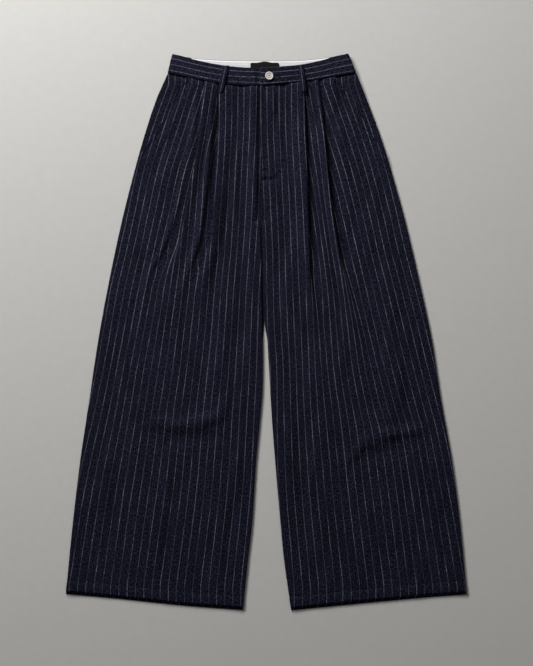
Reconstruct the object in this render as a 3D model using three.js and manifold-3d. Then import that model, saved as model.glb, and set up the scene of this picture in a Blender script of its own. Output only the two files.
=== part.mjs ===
// Wide-leg pinstripe trousers with two pleats a side, laid flat, face up.
// Millimetres, +Z up. The waist points to +Y and the hems to -Y. The origin is on the
// surface that they lie on, under the middle of their outline. Right and left are the
// wearer's, so the right leg is on the -X side.

import * as THREE from 'three';
import Module from 'manifold-3d';
import { mergeVertices } from 'three/addons/utils/BufferGeometryUtils.js';

const wasm = await Module();
wasm.setup();

// Cloth and seams
const CLOTH = 1.3; // wall of one layer
const BAND_CLOTH = 2.6; // the waistband is two layers
const LINING_CLOTH = 1.0;
const SEAM_GAP = 0.3; // between pieces that are sewn together
const LAYER = CLOTH + SEAM_GAP; // from the middle of a layer to the middle of the next

// Where the main seams lie
const CENTRE_X = -11; // front and back centre seams
const CROTCH_Y = 215;
const CROTCH_BLEND = 7; // above and below it the centre seam turns into the inside leg
const HEM_DEPTH = 20;
const HEM_STEP = 3; // the hem's thickness comes in over this length
const HEM_CLOTH = 2.2; // turned up twice and pressed
const BACK_HEM_DROP = 6; // the back hem shows below the front one

// Heights of the middle of each layer above the surface
const BACK_Z = CLOTH / 2;
const FRONT_Z = 3.5;
const FRONT_LOWEST_Z = 2.4; // it rests on the back there
const EDGE_Z = 4.7; // over the seam allowances along the sides
const SEAM_Z = 7.6; // where the front goes into the waistband
const BACK_SEAM_Z = 1.9;
const BAND_BACK_Z = 3.1;
const BAND_FRONT_Z = 8.6;
const BAND_OVERLAP_Z = BAND_FRONT_Z + BAND_CLOTH + SEAM_GAP;
const SEAM_RISE = 70; // length over which the front climbs to the waistband
const BACK_SEAM_RISE = 18;
const EDGE_SEAM_Z = 2.8; // where front and back meet along the sides
const EDGE_SEAM_WAIST_Z = 4.7;
const EDGE_SEAM_GAP = 0.85; // between the middles of the two edges, which turn a little as they meet
const EDGE_RADIUS = 2.3; // roll of the cloth at the side and inside leg seams
const EDGE_RISE = 40; // width over which the front climbs to an edge
const CREASES_FADE_FROM = 0.2; // share of that climb where the creases begin to fade
const CREASES_FADE_TO = 0.9;

// Fly: the left front laps over the right one
const FLY_UNDERLAP = 18;
const FLY_END_Y = 290;
const FLY_UNDERLAP_TAPER = 40; // length over which the underlap reaches its full width
const FLY_RAISE_WIDTH = 45;
const FLY_RAISE_START = 50; // below the end of the fly, where the lift begins
const FLY_RAISE_FULL = 15;
const LAP = LAYER + 0.25; // rise of an edge that lies over another piece

// Slanted pocket mouths
const POCKET_UNDERLAP = 14;
const POCKET_RAISE_WIDTH = 45;
const POCKET_RAISE_MARGIN = 4; // the lift is full this far before the facing begins
const POCKET_RAISE_START = 30; // below the end of the mouth, where the lift begins
const MOUTH_TAPER_BELOW = 2; // the mouth closes into the side seam between these heights
const MOUTH_TAPER_ABOVE = 12;

// Waistband, belt loops and button
const BAND_HEIGHT = 36;
const BAND_SIDE_BLEND = 60; // length over which its back takes up the curve of the front
const BAND_UNDERLAP_X = 30; // how far the right end runs on under the left end
const OVERLAP_SLOPE = 35; // length over which the left end climbs over the right end
const OVERLAP_EASE = 3; // it is up this far before the right end begins
const LOOP_WIDTH = 11;
const LOOP_CLOTH = 2;
const LOOP_ARCH = 0.8;
const BACK_LOOP_CLOTH = 1.5;
const BACK_LOOP_MARGIN = 1; // left free of the waistband's edges
const BUTTON = { x: 6, y: 498.5, radius: 8, height: 3, rim: 1, shank: 2 };
const BUTTONHOLE = { eye: 2.6, slit: 1, end: 27 };
const LABEL = { x: -3, width: 56, height: 26, bump: 2.4, bumpWidth: 0.3, dip: 3 };
const LINING = { from: -146, to: 124, height: 33, margin: 1 };

// Edges of the waistband, across the garment: x, and the height y of the edge there
const BAND_TOP_FRONT = [
  { x: -184, y: 542 },
  { x: -168, y: 539 },
  { x: -139, y: 531 },
  { x: -110, y: 524.5 },
  { x: -80, y: 519.5 },
  { x: -51, y: 516.5 },
  { x: -12, y: 515 },
  { x: 27, y: 517 },
  { x: 66, y: 521.5 },
  { x: 105, y: 529 },
  { x: 134, y: 537.5 },
  { x: 161, y: 543 },
];
const BAND_TOP_BACK = [
  { x: -184, y: 542 },
  { x: -131, y: 533.5 },
  { x: -60, y: 530 },
  { x: 0, y: 529.5 },
  { x: 66, y: 530.5 },
  { x: 109, y: 534.5 },
  { x: 161, y: 543 },
];
const BAND_SEAM_FRONT = [
  { x: -193, y: 505 },
  { x: -168, y: 500 },
  { x: -129, y: 491.5 },
  { x: -90, y: 484.5 },
  { x: -51, y: 481 },
  { x: -11, y: 480.5 },
  { x: 27, y: 483 },
  { x: 66, y: 487 },
  { x: 105, y: 493 },
  { x: 144, y: 500 },
  { x: 176, y: 505.5 },
];

// Outline of each leg: y along the leg, and how far the side edge lies from the centre seam
const OUTER_EDGE = {
  right: [
    { y: 506, a: 180.5 },
    { y: 453, a: 204 },
    { y: 375, a: 229.5 },
    { y: 297, a: 251 },
    { y: 219, a: 270.5 },
    { y: 102, a: 295.5 },
    { y: -15, a: 317 },
    { y: -132, a: 334.5 },
    { y: -249, a: 352 },
    { y: -366, a: 366 },
    { y: -512, a: 380.5 },
  ],
  left: [
    { y: 506, a: 186.5 },
    { y: 453, a: 207.5 },
    { y: 375, a: 236.5 },
    { y: 297, a: 260 },
    { y: 219, a: 281.5 },
    { y: 102, a: 309 },
    { y: -15, a: 334 },
    { y: -132, a: 352 },
    { y: -249, a: 373 },
    { y: -366, a: 388.5 },
    { y: -512, a: 402.5 },
  ],
};

// Inside leg edge below the crotch, measured in the same way
const INNER_EDGE = {
  right: [
    { y: 215, a: -0.6 },
    { y: 102, a: -2.2 },
    { y: -93, a: -4.2 },
    { y: -171, a: 1.2 },
    { y: -249, a: 8.5 },
    { y: -366, a: 16 },
    { y: -444, a: 24.5 },
    { y: -542, a: 34.5 },
  ],
  left: [
    { y: 215, a: 1.2 },
    { y: 102, a: 6.4 },
    { y: -93, a: 17.5 },
    { y: -171, a: 22 },
    { y: -249, a: 28 },
    { y: -366, a: 38 },
    { y: -444, a: 45.5 },
    { y: -542, a: 59.5 },
  ],
};

// Front hem, from the inside leg to the side: distance a from the centre seam, and y
const FRONT_HEM = {
  right: [
    { a: 34, y: -536.5 },
    { a: 157, y: -527 },
    { a: 280, y: -514 },
    { a: 380.5, y: -505 },
  ],
  left: [
    { a: 59.5, y: -537 },
    { a: 135, y: -529.5 },
    { a: 233, y: -520 },
    { a: 332, y: -511 },
    { a: 402.5, y: -506 },
  ],
};

// Pleats. fold: where the folded edge lies from the centre seam. under: how far the cloth
// goes back beneath it. height: of the folded edge above the lowest layer. valley: width of
// the hollow beside it. open: 0 a flat fold, 1 a plain soft ridge. ridge: its height there.
const PLEATS = {
  right: [
    [
      { y: 484, fold: 79, under: 20, height: 3.4, valley: 9, open: 0, ridge: 3 },
      { y: 415, fold: 84, under: 17, height: 5.6, valley: 10, open: 0, ridge: 4 },
      { y: 335, fold: 88, under: 9, height: 8.6, valley: 18, open: 0.05, ridge: 6 },
      { y: 258, fold: 93, under: 6, height: 9, valley: 22, open: 0.3, ridge: 6.5 },
      { y: 180, fold: 101, under: 4, height: 7, valley: 24, open: 0.8, ridge: 5 },
      { y: 70, fold: 117, under: 2, height: 4, valley: 24, open: 1, ridge: 2.6 },
      { y: -60, fold: 126, under: 2, height: 3, valley: 24, open: 1, ridge: 0.4 },
      { y: -540, fold: 152, under: 2, height: 3, valley: 24, open: 1, ridge: 0 },
    ],
    [
      { y: 488, fold: 108, under: 20, height: 3.4, valley: 8, open: 0, ridge: 3 },
      { y: 434, fold: 118, under: 15, height: 4.6, valley: 9, open: 0.05, ridge: 3.6 },
      { y: 380, fold: 127, under: 8, height: 5.4, valley: 15, open: 0.4, ridge: 4 },
      { y: 320, fold: 138, under: 4, height: 5, valley: 22, open: 0.9, ridge: 3 },
      { y: 230, fold: 156, under: 2, height: 4, valley: 26, open: 1, ridge: 1.6 },
      { y: 100, fold: 180, under: 2, height: 3, valley: 26, open: 1, ridge: 0.4 },
      { y: -540, fold: 252, under: 2, height: 3, valley: 26, open: 1, ridge: 0 },
    ],
  ],
  left: [
    [
      { y: 484, fold: 82, under: 20, height: 3.4, valley: 8, open: 0, ridge: 3 },
      { y: 434, fold: 86.5, under: 18, height: 5, valley: 8, open: 0, ridge: 4 },
      { y: 335, fold: 90, under: 12, height: 7.6, valley: 10, open: 0, ridge: 5 },
      { y: 258, fold: 94, under: 8, height: 8, valley: 12, open: 0.1, ridge: 6 },
      { y: 141, fold: 100, under: 5, height: 6.5, valley: 15, open: 0.6, ridge: 5 },
      { y: 40, fold: 106, under: 3, height: 4.5, valley: 20, open: 1, ridge: 3.2 },
      { y: -60, fold: 112, under: 2, height: 3, valley: 24, open: 1, ridge: 0.8 },
      { y: -540, fold: 176, under: 2, height: 3, valley: 24, open: 1, ridge: 0 },
    ],
    [
      { y: 488, fold: 112, under: 20, height: 3.4, valley: 8, open: 0, ridge: 3 },
      { y: 434, fold: 120, under: 18, height: 5, valley: 9, open: 0, ridge: 4 },
      { y: 356, fold: 128, under: 11, height: 8, valley: 14, open: 0, ridge: 6 },
      { y: 258, fold: 138, under: 8, height: 9, valley: 17, open: 0.1, ridge: 7 },
      { y: 161, fold: 154, under: 6, height: 8, valley: 18, open: 0.35, ridge: 6.5 },
      { y: 70, fold: 169, under: 4, height: 6, valley: 20, open: 0.8, ridge: 5 },
      { y: -20, fold: 186, under: 2, height: 4, valley: 22, open: 1, ridge: 3.4 },
      { y: -100, fold: 198, under: 2, height: 3, valley: 24, open: 1, ridge: 0.8 },
      { y: -540, fold: 268, under: 2, height: 3, valley: 24, open: 1, ridge: 0 },
    ],
  ],
};

// Pocket mouths: distance a from the centre seam at each height
const POCKET_MOUTH = {
  right: [
    { y: 500, a: 140 },
    { y: 463, a: 167 },
    { y: 418, a: 187 },
    { y: 379, a: 211 },
    { y: 340, a: 240 },
  ],
  left: [
    { y: 500, a: 144 },
    { y: 463, a: 171 },
    { y: 426, a: 193 },
    { y: 381, a: 219.5 },
    { y: 346, a: 247 },
  ],
};

// Soft creases that the cloth has taken: a line from one point to another, in distance a
// from the centre seam and y, the height of the ridge (or depth of the trough) and its width
const CREASES = {
  right: [
    { a0: 118, y0: -150, a1: 60, y1: -150, height: 3.4, width: 15 },
    { a0: 118, y0: -150, a1: 186, y1: -148, height: 3.4, width: 15 },
    { a0: 104, y0: -182, a1: 48, y1: -164, height: -1.4, width: 12 },
    { a0: 104, y0: -182, a1: 170, y1: -186, height: -1.4, width: 12 },
    { a0: 33, y0: 345, a1: 34, y1: 20, height: -1.6, width: 15 },
    { a0: 14, y0: 190, a1: 18, y1: -60, height: 2.2, width: 12 },
    { a0: 254, y0: 60, a1: 246, y1: -120, height: -1.8, width: 16 },
    { a0: 210, y0: 120, a1: 226, y1: -160, height: 1.8, width: 26 },
    { a0: 150, y0: 330, a1: 176, y1: 190, height: -1.6, width: 18 },
    { a0: 70, y0: 60, a1: 84, y1: -300, height: 1.4, width: 30 },
    { a0: 190, y0: -220, a1: 214, y1: -480, height: 1.2, width: 32 },
  ],
  left: [
    { a0: 168, y0: -206, a1: 212, y1: -190, height: 3, width: 15 },
    { a0: 212, y0: -190, a1: 286, y1: -184, height: 2.8, width: 15 },
    { a0: 172, y0: -238, a1: 218, y1: -216, height: -1.4, width: 12 },
    { a0: 218, y0: -216, a1: 276, y1: -212, height: -1.4, width: 12 },
    { a0: 198, y0: -96, a1: 222, y1: -66, height: 2.2, width: 14 },
    { a0: 46, y0: 250, a1: 50, y1: 190, height: -1.4, width: 16 },
    { a0: 40, y0: 170, a1: 30, y1: -40, height: -1.6, width: 14 },
    { a0: 72, y0: -30, a1: 82, y1: -460, height: -1.4, width: 20 },
    { a0: 104, y0: -80, a1: 112, y1: -440, height: 1.4, width: 26 },
    { a0: 250, y0: 120, a1: 262, y1: -110, height: 1.4, width: 34 },
    { a0: 270, y0: -250, a1: 300, y1: -480, height: 1.2, width: 34 },
  ],
};

// Rows down a leg: how many lie between one height and the next
const ROW_SPANS = [
  { from: 484, to: 408, front: 4, back: 4 },
  { from: 408, to: 330, front: 4, back: 1 },
  { from: 330, to: 232, front: 4, back: 2 },
  { from: 232, to: 196, front: 3, back: 3 },
  { from: 196, to: 20, front: 5, back: 3 },
  { from: 20, to: -240, front: 8, back: 4 },
  { from: -240, to: -512, front: 4, back: 4 },
  { from: -512, to: -516, front: 1, back: 1 },
  { from: -516, to: -536, front: 1, back: 1 },
];

const FINISHES = {
  cloth: { color: 0x1d1e2b, roughness: 0.9, metalness: 0 },
  lining: { color: 0xe4e3e3, roughness: 0.9, metalness: 0 },
  label: { color: 0x1f1f20, roughness: 0.6, metalness: 0 },
  button: { color: 0xc8c5c1, roughness: 0.35, metalness: 0.9 },
};

const SIDES = {
  right: { name: 'right', sign: -1 },
  left: { name: 'left', sign: 1 },
};

// Helpers for curves

function lerp(from, to, t) {
  return from + (to - from) * t;
}

function clamp01(t) {
  return Math.min(1, Math.max(0, t));
}

// A soft step from 0 at one value to 1 at the other
function ramp(value, zero, one) {
  const t = clamp01((value - zero) / (one - zero));
  return t * t * (3 - 2 * t);
}

// Reads a column of a table at a place between its rows, on a smooth curve
function read(rows, key, at, column) {
  const rising = rows[rows.length - 1][key] > rows[0][key];
  const sorted = rising ? rows : [...rows].reverse();
  const last = sorted.length - 1;
  let i = 0;
  while (i < last - 1 && at > sorted[i + 1][key]) i += 1;
  const a = sorted[i];
  const b = sorted[i + 1];
  const before = sorted[Math.max(i - 1, 0)];
  const after = sorted[Math.min(i + 2, last)];
  const span = b[key] - a[key];
  const t = clamp01((at - a[key]) / span);
  const slopeA = ((b[column] - before[column]) / (b[key] - before[key])) * span;
  const slopeB = ((after[column] - a[column]) / (after[key] - a[key])) * span;
  const t2 = t * t;
  const t3 = t2 * t;
  return (2 * t3 - 3 * t2 + 1) * a[column] + (t3 - 2 * t2 + t) * slopeA
    + (-2 * t3 + 3 * t2) * b[column] + (t3 - t2) * slopeB;
}

// Soft bell, 1 on the line of a crease and 0 one width away
function bell(distance, width) {
  const t = clamp01(Math.abs(distance) / width);
  return (1 - t * t) ** 2;
}

function creaseHeight(side, a, y) {
  let height = 0;
  for (const c of CREASES[side.name]) {
    const along = new THREE.Vector2(c.a1 - c.a0, c.y1 - c.y0);
    const length = along.length();
    along.normalize();
    const from = new THREE.Vector2(a - c.a0, y - c.y0);
    const t = from.dot(along);
    const across = from.cross(along);
    const ends = ramp(t, -c.width, c.width) * ramp(t, length + c.width, length - c.width);
    height += c.height * ends * bell(across, c.width);
  }
  return height;
}

// Helpers for solids

function meshOf(name, geometry, finish) {
  const mesh = new THREE.Mesh(geometry, new THREE.MeshStandardMaterial(finish));
  mesh.name = name;
  return mesh;
}

function signedVolume(points, faces) {
  let volume = 0;
  for (const [i, j, k] of faces) {
    volume += points[i].dot(new THREE.Vector3().crossVectors(points[j], points[k])) / 6;
  }
  return volume;
}

function geometryFrom(points, faces) {
  const outward = signedVolume(points, faces) > 0;
  const geometry = new THREE.BufferGeometry();
  geometry.setAttribute('position', new THREE.Float32BufferAttribute(points.flatMap((p) => p.toArray()), 3));
  geometry.setIndex(faces.flatMap(([i, j, k]) => (outward ? [i, j, k] : [i, k, j])));
  geometry.computeVertexNormals();
  return geometry;
}

// A wall of cloth round a grid of points that lie in the middle of its thickness
function clothWall(grid, thicknessAt) {
  const rows = grid.length;
  const columns = grid[0].length;
  const points = [];
  for (const face of [1, -1]) {
    for (let r = 0; r < rows; r += 1) {
      for (let c = 0; c < columns; c += 1) {
        const across = grid[r][Math.min(c + 1, columns - 1)].clone().sub(grid[r][Math.max(c - 1, 0)]);
        const down = grid[Math.min(r + 1, rows - 1)][c].clone().sub(grid[Math.max(r - 1, 0)][c]);
        const normal = across.cross(down).normalize();
        points.push(grid[r][c].clone().addScaledVector(normal, (face * thicknessAt(r, c)) / 2));
      }
    }
  }
  const at = (face, r, c) => face * rows * columns + r * columns + c;
  const faces = [];
  const quad = (i, j, k, l) => {
    faces.push([i, j, k]);
    faces.push([i, k, l]);
  };
  for (let r = 0; r < rows - 1; r += 1) {
    for (let c = 0; c < columns - 1; c += 1) {
      quad(at(0, r, c), at(0, r, c + 1), at(0, r + 1, c + 1), at(0, r + 1, c));
      quad(at(1, r, c), at(1, r + 1, c), at(1, r + 1, c + 1), at(1, r, c + 1));
    }
    quad(at(0, r, 0), at(0, r + 1, 0), at(1, r + 1, 0), at(1, r, 0));
    quad(at(0, r, columns - 1), at(1, r, columns - 1), at(1, r + 1, columns - 1), at(0, r + 1, columns - 1));
  }
  for (let c = 0; c < columns - 1; c += 1) {
    quad(at(0, 0, c), at(1, 0, c), at(1, 0, c + 1), at(0, 0, c + 1));
    quad(at(0, rows - 1, c), at(0, rows - 1, c + 1), at(1, rows - 1, c + 1), at(1, rows - 1, c));
  }
  return geometryFrom(points, faces);
}

// The shape of a leg

function outerEdge(side, y) {
  return read(OUTER_EDGE[side.name], 'y', y, 'a');
}

function innerEdge(side, y) {
  return read(INNER_EDGE[side.name], 'y', y, 'a');
}

function pocketMouth(side, y) {
  return read(POCKET_MOUTH[side.name], 'y', y, 'a');
}

// Lower edge of the waistband at the front, and at the back, which is less curved
function bandSeamFront(x) {
  return read(BAND_SEAM_FRONT, 'x', x, 'y');
}

function bandTopFront(x) {
  return read(BAND_TOP_FRONT, 'x', x, 'y');
}

function bandTopBack(x) {
  return read(BAND_TOP_BACK, 'x', x, 'y');
}

function bandSeamBack(x) {
  const right = BAND_TOP_FRONT[0].x;
  const left = BAND_TOP_FRONT[BAND_TOP_FRONT.length - 1].x;
  const sideways = Math.max(ramp(x, right + BAND_SIDE_BLEND, right), ramp(x, left - BAND_SIDE_BLEND, left));
  return lerp(bandTopBack(x) - BAND_HEIGHT, bandSeamFront(x), sideways);
}

function seamY(side, a) {
  return bandSeamFront(CENTRE_X + side.sign * a) - SEAM_GAP;
}

function backSeamY(side, a) {
  return bandSeamBack(CENTRE_X + side.sign * a) - SEAM_GAP;
}

function hemY(side, a) {
  return read(FRONT_HEM[side.name], 'a', a, 'y');
}

function backHemY(side, a) {
  return hemY(side, a) - BACK_HEM_DROP;
}

// What the rows of a panel bend to at its two ends
const FRONT_ENDS = { seam: seamY, hem: hemY };
const BACK_ENDS = { seam: backSeamY, hem: backHemY };

// The rows run level through the legs and bend to the waistband seam and to the hem
const SEAM_BEND = 150;
const HEM_BEND = 130;
const TOP_Y = ROW_SPANS[0].from;
const BOTTOM_Y = ROW_SPANS[ROW_SPANS.length - 1].to;

function bentY(side, a, y, ends) {
  const nearSeam = ramp(y, TOP_Y - SEAM_BEND, TOP_Y);
  const nearHem = ramp(y, BOTTOM_Y + HEM_BEND, BOTTOM_Y);
  return y + nearSeam * (ends.seam(side, a) - TOP_Y) + nearHem * (ends.hem(side, a) - BOTTOM_Y);
}

function rowHeights(panel) {
  const heights = [TOP_Y];
  for (const span of ROW_SPANS) {
    for (let i = 1; i <= span[panel]; i += 1) heights.push(lerp(span.from, span.to, i / span[panel]));
  }
  return heights;
}

// A row of points at one level, each moved to the bent row and read again where it lands
const LANDING_STEPS = 4;

function bentRow(side, level, ends, sectionAt) {
  return sectionAt(side, level).map((point, column) => {
    let landed = point;
    let y = level;
    for (let i = 0; i < LANDING_STEPS; i += 1) {
      y = bentY(side, landed.a, level, ends);
      landed = sectionAt(side, y)[column];
    }
    return new THREE.Vector3(CENTRE_X + side.sign * landed.a, y, landed.z);
  });
}

function nearWaist(side, a, y) {
  return ramp(y, seamY(side, a) - SEAM_RISE, seamY(side, a));
}

function wallAt(side, a, y, ends) {
  const aboveHem = y - ends.hem(side, a);
  return lerp(HEM_CLOTH, CLOTH, ramp(aboveHem, HEM_DEPTH - HEM_STEP, HEM_DEPTH));
}

function backZ(side, a, y) {
  const seam = backSeamY(side, a);
  return lerp(wallAt(side, a, y, BACK_ENDS) / 2, BACK_SEAM_Z, ramp(y, seam - BACK_SEAM_RISE, seam));
}

// Height of the plain front cloth between the folds
function frontZ(side, a, y) {
  const toSide = ramp(a, outerEdge(side, y) - EDGE_RISE, outerEdge(side, y));
  const toInside = y < CROTCH_Y ? ramp(a, innerEdge(side, y) + EDGE_RISE, innerEdge(side, y)) : 0;
  const climb = Math.max(toSide, toInside);
  const waist = nearWaist(side, a, y);
  const quiet = 1 - ramp(climb, CREASES_FADE_FROM, CREASES_FADE_TO);
  const level = lerp(lerp(FRONT_Z, EDGE_Z, climb), SEAM_Z, waist);
  const creased = level + creaseHeight(side, a, y) * quiet * (1 - waist);
  return Math.max(creased, FRONT_LOWEST_Z) + flyRaise(side, a, y) + pocketRaise(side, a, y);
}

// The left front is lifted over the right one along the fly
function flyRaise(side, a, y) {
  if (side.name === 'right') return 0;
  const along = ramp(y, FLY_END_Y - FLY_RAISE_START, FLY_END_Y - FLY_RAISE_FULL);
  return LAP * ramp(a, FLY_RAISE_WIDTH, FLY_UNDERLAP) * along;
}

// The front is lifted over the pocket facing along the pocket mouth
function pocketRaise(side, a, y) {
  const mouth = pocketMouth(side, y);
  const end = mouthEnd(side);
  const across = ramp(a, mouth - POCKET_RAISE_WIDTH, mouth - POCKET_UNDERLAP - POCKET_RAISE_MARGIN);
  return LAP * across * ramp(y, end - POCKET_RAISE_START, end);
}

function mouthEnd(side) {
  return POCKET_MOUTH[side.name].at(-1).y;
}

function mouthOpen(side, y) {
  const end = mouthEnd(side);
  return ramp(y, end - MOUTH_TAPER_BELOW, end + MOUTH_TAPER_ABOVE);
}

// 0 above the crotch, where the panels meet at the centre seam, and 1 in the legs
function inLeg(y) {
  return 1 - ramp(y, CROTCH_Y - CROTCH_BLEND, CROTCH_Y + CROTCH_BLEND);
}

// Half of the roll of cloth that joins front and back along an edge: 0 flat, 1 at the seam
function rolledEdge(edge, outward, levelZ, seamZ, t) {
  const turn = (t * Math.PI) / 2;
  return {
    a: edge - outward * (CLOTH / 2 + EDGE_RADIUS * (1 - Math.sin(turn))),
    z: lerp(seamZ, levelZ, Math.cos(turn)),
  };
}

// Height at which front and back meet along the sides and the inside leg
function edgeSeamZ(side, a, y) {
  return lerp(EDGE_SEAM_Z, EDGE_SEAM_WAIST_Z, nearWaist(side, a, y));
}

function pleatAt(side, index, y) {
  const table = PLEATS[side.name][index];
  const pleat = {};
  for (const column of ['fold', 'under', 'height', 'valley', 'open', 'ridge']) {
    pleat[column] = read(table, 'y', y, column);
  }
  pleat.open = clamp01(pleat.open);
  return pleat;
}

// Ten points across a pleat, from the centre side to the side seam. Flat: the cloth runs out
// to the folded edge, back beneath it and out again. Opened out: one soft ridge.
const PLEAT_APPROACH = 15;
const PLEAT_DIP = 1.4; // the lowest layer lies this far below the cloth around it
const PLEAT_SHOULDER = 0.75; // share of the climb reached halfway to the folded edge
const PLEAT_ROLL = 0.25; // radius of the folds, as a share of the pleat's height
const PLEAT_LANDING = 2; // the lowest layer is level to this far past the folded edge
const OPEN_RIDGE = [0, 0.5, 0.85, 1, 0.92, 0.72, 0.42, 0.12, -0.06, 0];

function pleatPoints(side, pleat, y) {
  const start = pleat.fold - PLEAT_APPROACH;
  const end = pleat.fold + pleat.valley;
  const startZ = frontZ(side, start, y);
  const endZ = frontZ(side, end, y);
  const level = (startZ + endZ) / 2;
  const low = Math.max(level - PLEAT_DIP, BACK_Z + LAYER);
  const roll = pleat.height * PLEAT_ROLL;
  const middle = low + pleat.height / 2;
  const folded = [
    [start, startZ],
    [pleat.fold - PLEAT_APPROACH / 2, lerp(startZ, low + pleat.height, PLEAT_SHOULDER)],
    [pleat.fold - roll, low + pleat.height],
    [pleat.fold, low + pleat.height - roll],
    [pleat.fold - roll, middle],
    [pleat.fold - pleat.under + roll, middle],
    [pleat.fold - pleat.under, low + roll],
    [pleat.fold - pleat.under + roll, low],
    [pleat.fold + PLEAT_LANDING, low],
    [end, endZ],
  ];
  return folded.map(([a, z], i) => {
    const t = i / (folded.length - 1);
    const openZ = lerp(startZ, endZ, t) + OPEN_RIDGE[i] * pleat.ridge;
    return { a: lerp(a, lerp(start, end, t), pleat.open), z: lerp(z, openZ, pleat.open) };
  });
}

// Points across a front panel at one height, from the centre or inside leg to the side
const EDGE_STEPS = [1, 0.66, 0.33, 0];
const SPANS = { centre: 4, between: 2, side: 5 };

function frontSection(side, y) {
  const legged = inLeg(y);
  const opened = mouthOpen(side, y);
  const inner = innerEdge(side, y);
  const outer = outerEdge(side, y);
  const lapped = side.name === 'right' ? ramp(y, FLY_END_Y, FLY_END_Y + FLY_UNDERLAP_TAPER) : 0;
  const underlap = FLY_UNDERLAP * lapped;
  const centre = SEAM_GAP / 2 - underlap;
  const mouth = pocketMouth(side, y);
  const flatStart = centre + EDGE_RADIUS + CLOTH;
  const innerLevel = lerp(flatStart, inner + EDGE_RADIUS + CLOTH / 2, legged);
  const innerZ = frontZ(side, innerLevel, y);
  const innerSeam = edgeSeamZ(side, inner, y) + EDGE_SEAM_GAP / 2;
  const points = EDGE_STEPS.slice(0, -1).map((t) => {
    const roll = rolledEdge(inner, -1, innerZ, innerSeam, t);
    const flat = lerp(flatStart, centre, t);
    return { a: lerp(flat, roll.a, legged), z: lerp(frontZ(side, flat, y), roll.z, legged) };
  });
  const pleats = [0, 1].map((index) => pleatPoints(side, pleatAt(side, index, y), y));
  const outerLevel = lerp(outer - EDGE_RADIUS - CLOTH / 2, mouth - EDGE_RADIUS, opened);
  const plain = (from, to, steps) => {
    for (let i = 1; i < steps; i += 1) {
      const a = lerp(from, to, i / steps);
      points.push({ a, z: frontZ(side, a, y) });
    }
  };
  points.push({ a: innerLevel, z: innerZ });
  plain(innerLevel, pleats[0][0].a, SPANS.centre);
  points.push(...pleats[0]);
  plain(pleats[0].at(-1).a, pleats[1][0].a, SPANS.between);
  points.push(...pleats[1]);
  plain(pleats[1].at(-1).a, outerLevel, SPANS.side);
  const outerZ = frontZ(side, outerLevel, y);
  const outerSeam = edgeSeamZ(side, outer, y) + EDGE_SEAM_GAP / 2;
  for (const t of [...EDGE_STEPS].reverse()) {
    const roll = rolledEdge(outer, 1, outerZ, outerSeam, t);
    const flat = lerp(mouth - EDGE_RADIUS, mouth, t);
    points.push({ a: lerp(roll.a, flat, opened), z: lerp(roll.z, frontZ(side, flat, y), opened) });
  }
  return points;
}

function frontPanel(side) {
  const grid = rowHeights('front').map((level) => bentRow(side, level, FRONT_ENDS, frontSection));
  return clothWall(grid, (r, c) => {
    const p = grid[r][c];
    return wallAt(side, (p.x - CENTRE_X) * side.sign, p.y, FRONT_ENDS);
  });
}

// Top of the front cloth at a place, for what is sewn onto it
function frontTop(side, a, y) {
  const section = frontSection(side, y);
  let top = -Infinity;
  for (let i = 0; i < section.length - 1; i += 1) {
    const p = section[i];
    const q = section[i + 1];
    const crosses = Math.min(p.a, q.a) <= a && a <= Math.max(p.a, q.a);
    if (crosses && p.a !== q.a) top = Math.max(top, lerp(p.z, q.z, (a - p.a) / (q.a - p.a)));
  }
  return top + CLOTH / 2;
}

// Back panels: flat on the surface, rolled up along the side and inside leg

const BACK_SPANS = 6;

function backSection(side, y) {
  const legged = inLeg(y);
  const inner = innerEdge(side, y);
  const outer = outerEdge(side, y);
  const centre = SEAM_GAP / 2;
  const flatStart = centre + EDGE_RADIUS + CLOTH;
  const innerLevel = lerp(flatStart, inner + EDGE_RADIUS + CLOTH / 2, legged);
  const outerLevel = outer - EDGE_RADIUS - CLOTH / 2;
  const innerSeam = edgeSeamZ(side, inner, y) - EDGE_SEAM_GAP / 2;
  const outerSeam = edgeSeamZ(side, outer, y) - EDGE_SEAM_GAP / 2;
  const points = EDGE_STEPS.map((t) => {
    const roll = rolledEdge(inner, -1, backZ(side, innerLevel, y), innerSeam, t);
    const flat = lerp(flatStart, centre, t);
    return { a: lerp(flat, roll.a, legged), z: lerp(backZ(side, flat, y), roll.z, legged) };
  });
  for (let i = 1; i < BACK_SPANS; i += 1) {
    const a = lerp(innerLevel, outerLevel, i / BACK_SPANS);
    points.push({ a, z: backZ(side, a, y) });
  }
  for (const t of [...EDGE_STEPS].reverse()) {
    points.push(rolledEdge(outer, 1, backZ(side, outerLevel, y), outerSeam, t));
  }
  return points;
}

function backPanel(side) {
  const grid = rowHeights('back').map((level) => bentRow(side, level, BACK_ENDS, backSection));
  return clothWall(grid, (r, c) => {
    const p = grid[r][c];
    return wallAt(side, (p.x - CENTRE_X) * side.sign, p.y, BACK_ENDS);
  });
}

// Pocket facings: the cloth that shows beyond each slanted mouth, under the front's edge
const FACING_ROWS = 9;
const FACING_END = 22; // it starts this far above the lower end of the mouth
const FACING_SPANS = 5;

function facingSection(side, y) {
  const outer = outerEdge(side, y);
  const start = pocketMouth(side, y) - POCKET_UNDERLAP;
  const outerLevel = outer - EDGE_RADIUS - CLOTH / 2;
  const plainZ = (a) => frontZ(side, a, y) - pocketRaise(side, a, y);
  const seamZ = edgeSeamZ(side, outer, y) + EDGE_SEAM_GAP / 2;
  const points = [];
  for (let i = 0; i < FACING_SPANS; i += 1) {
    const a = lerp(start, outerLevel, i / FACING_SPANS);
    points.push({ a, z: plainZ(a) });
  }
  for (const t of [...EDGE_STEPS].reverse()) {
    points.push(rolledEdge(outer, 1, plainZ(outerLevel), seamZ, t));
  }
  return points;
}

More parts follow.
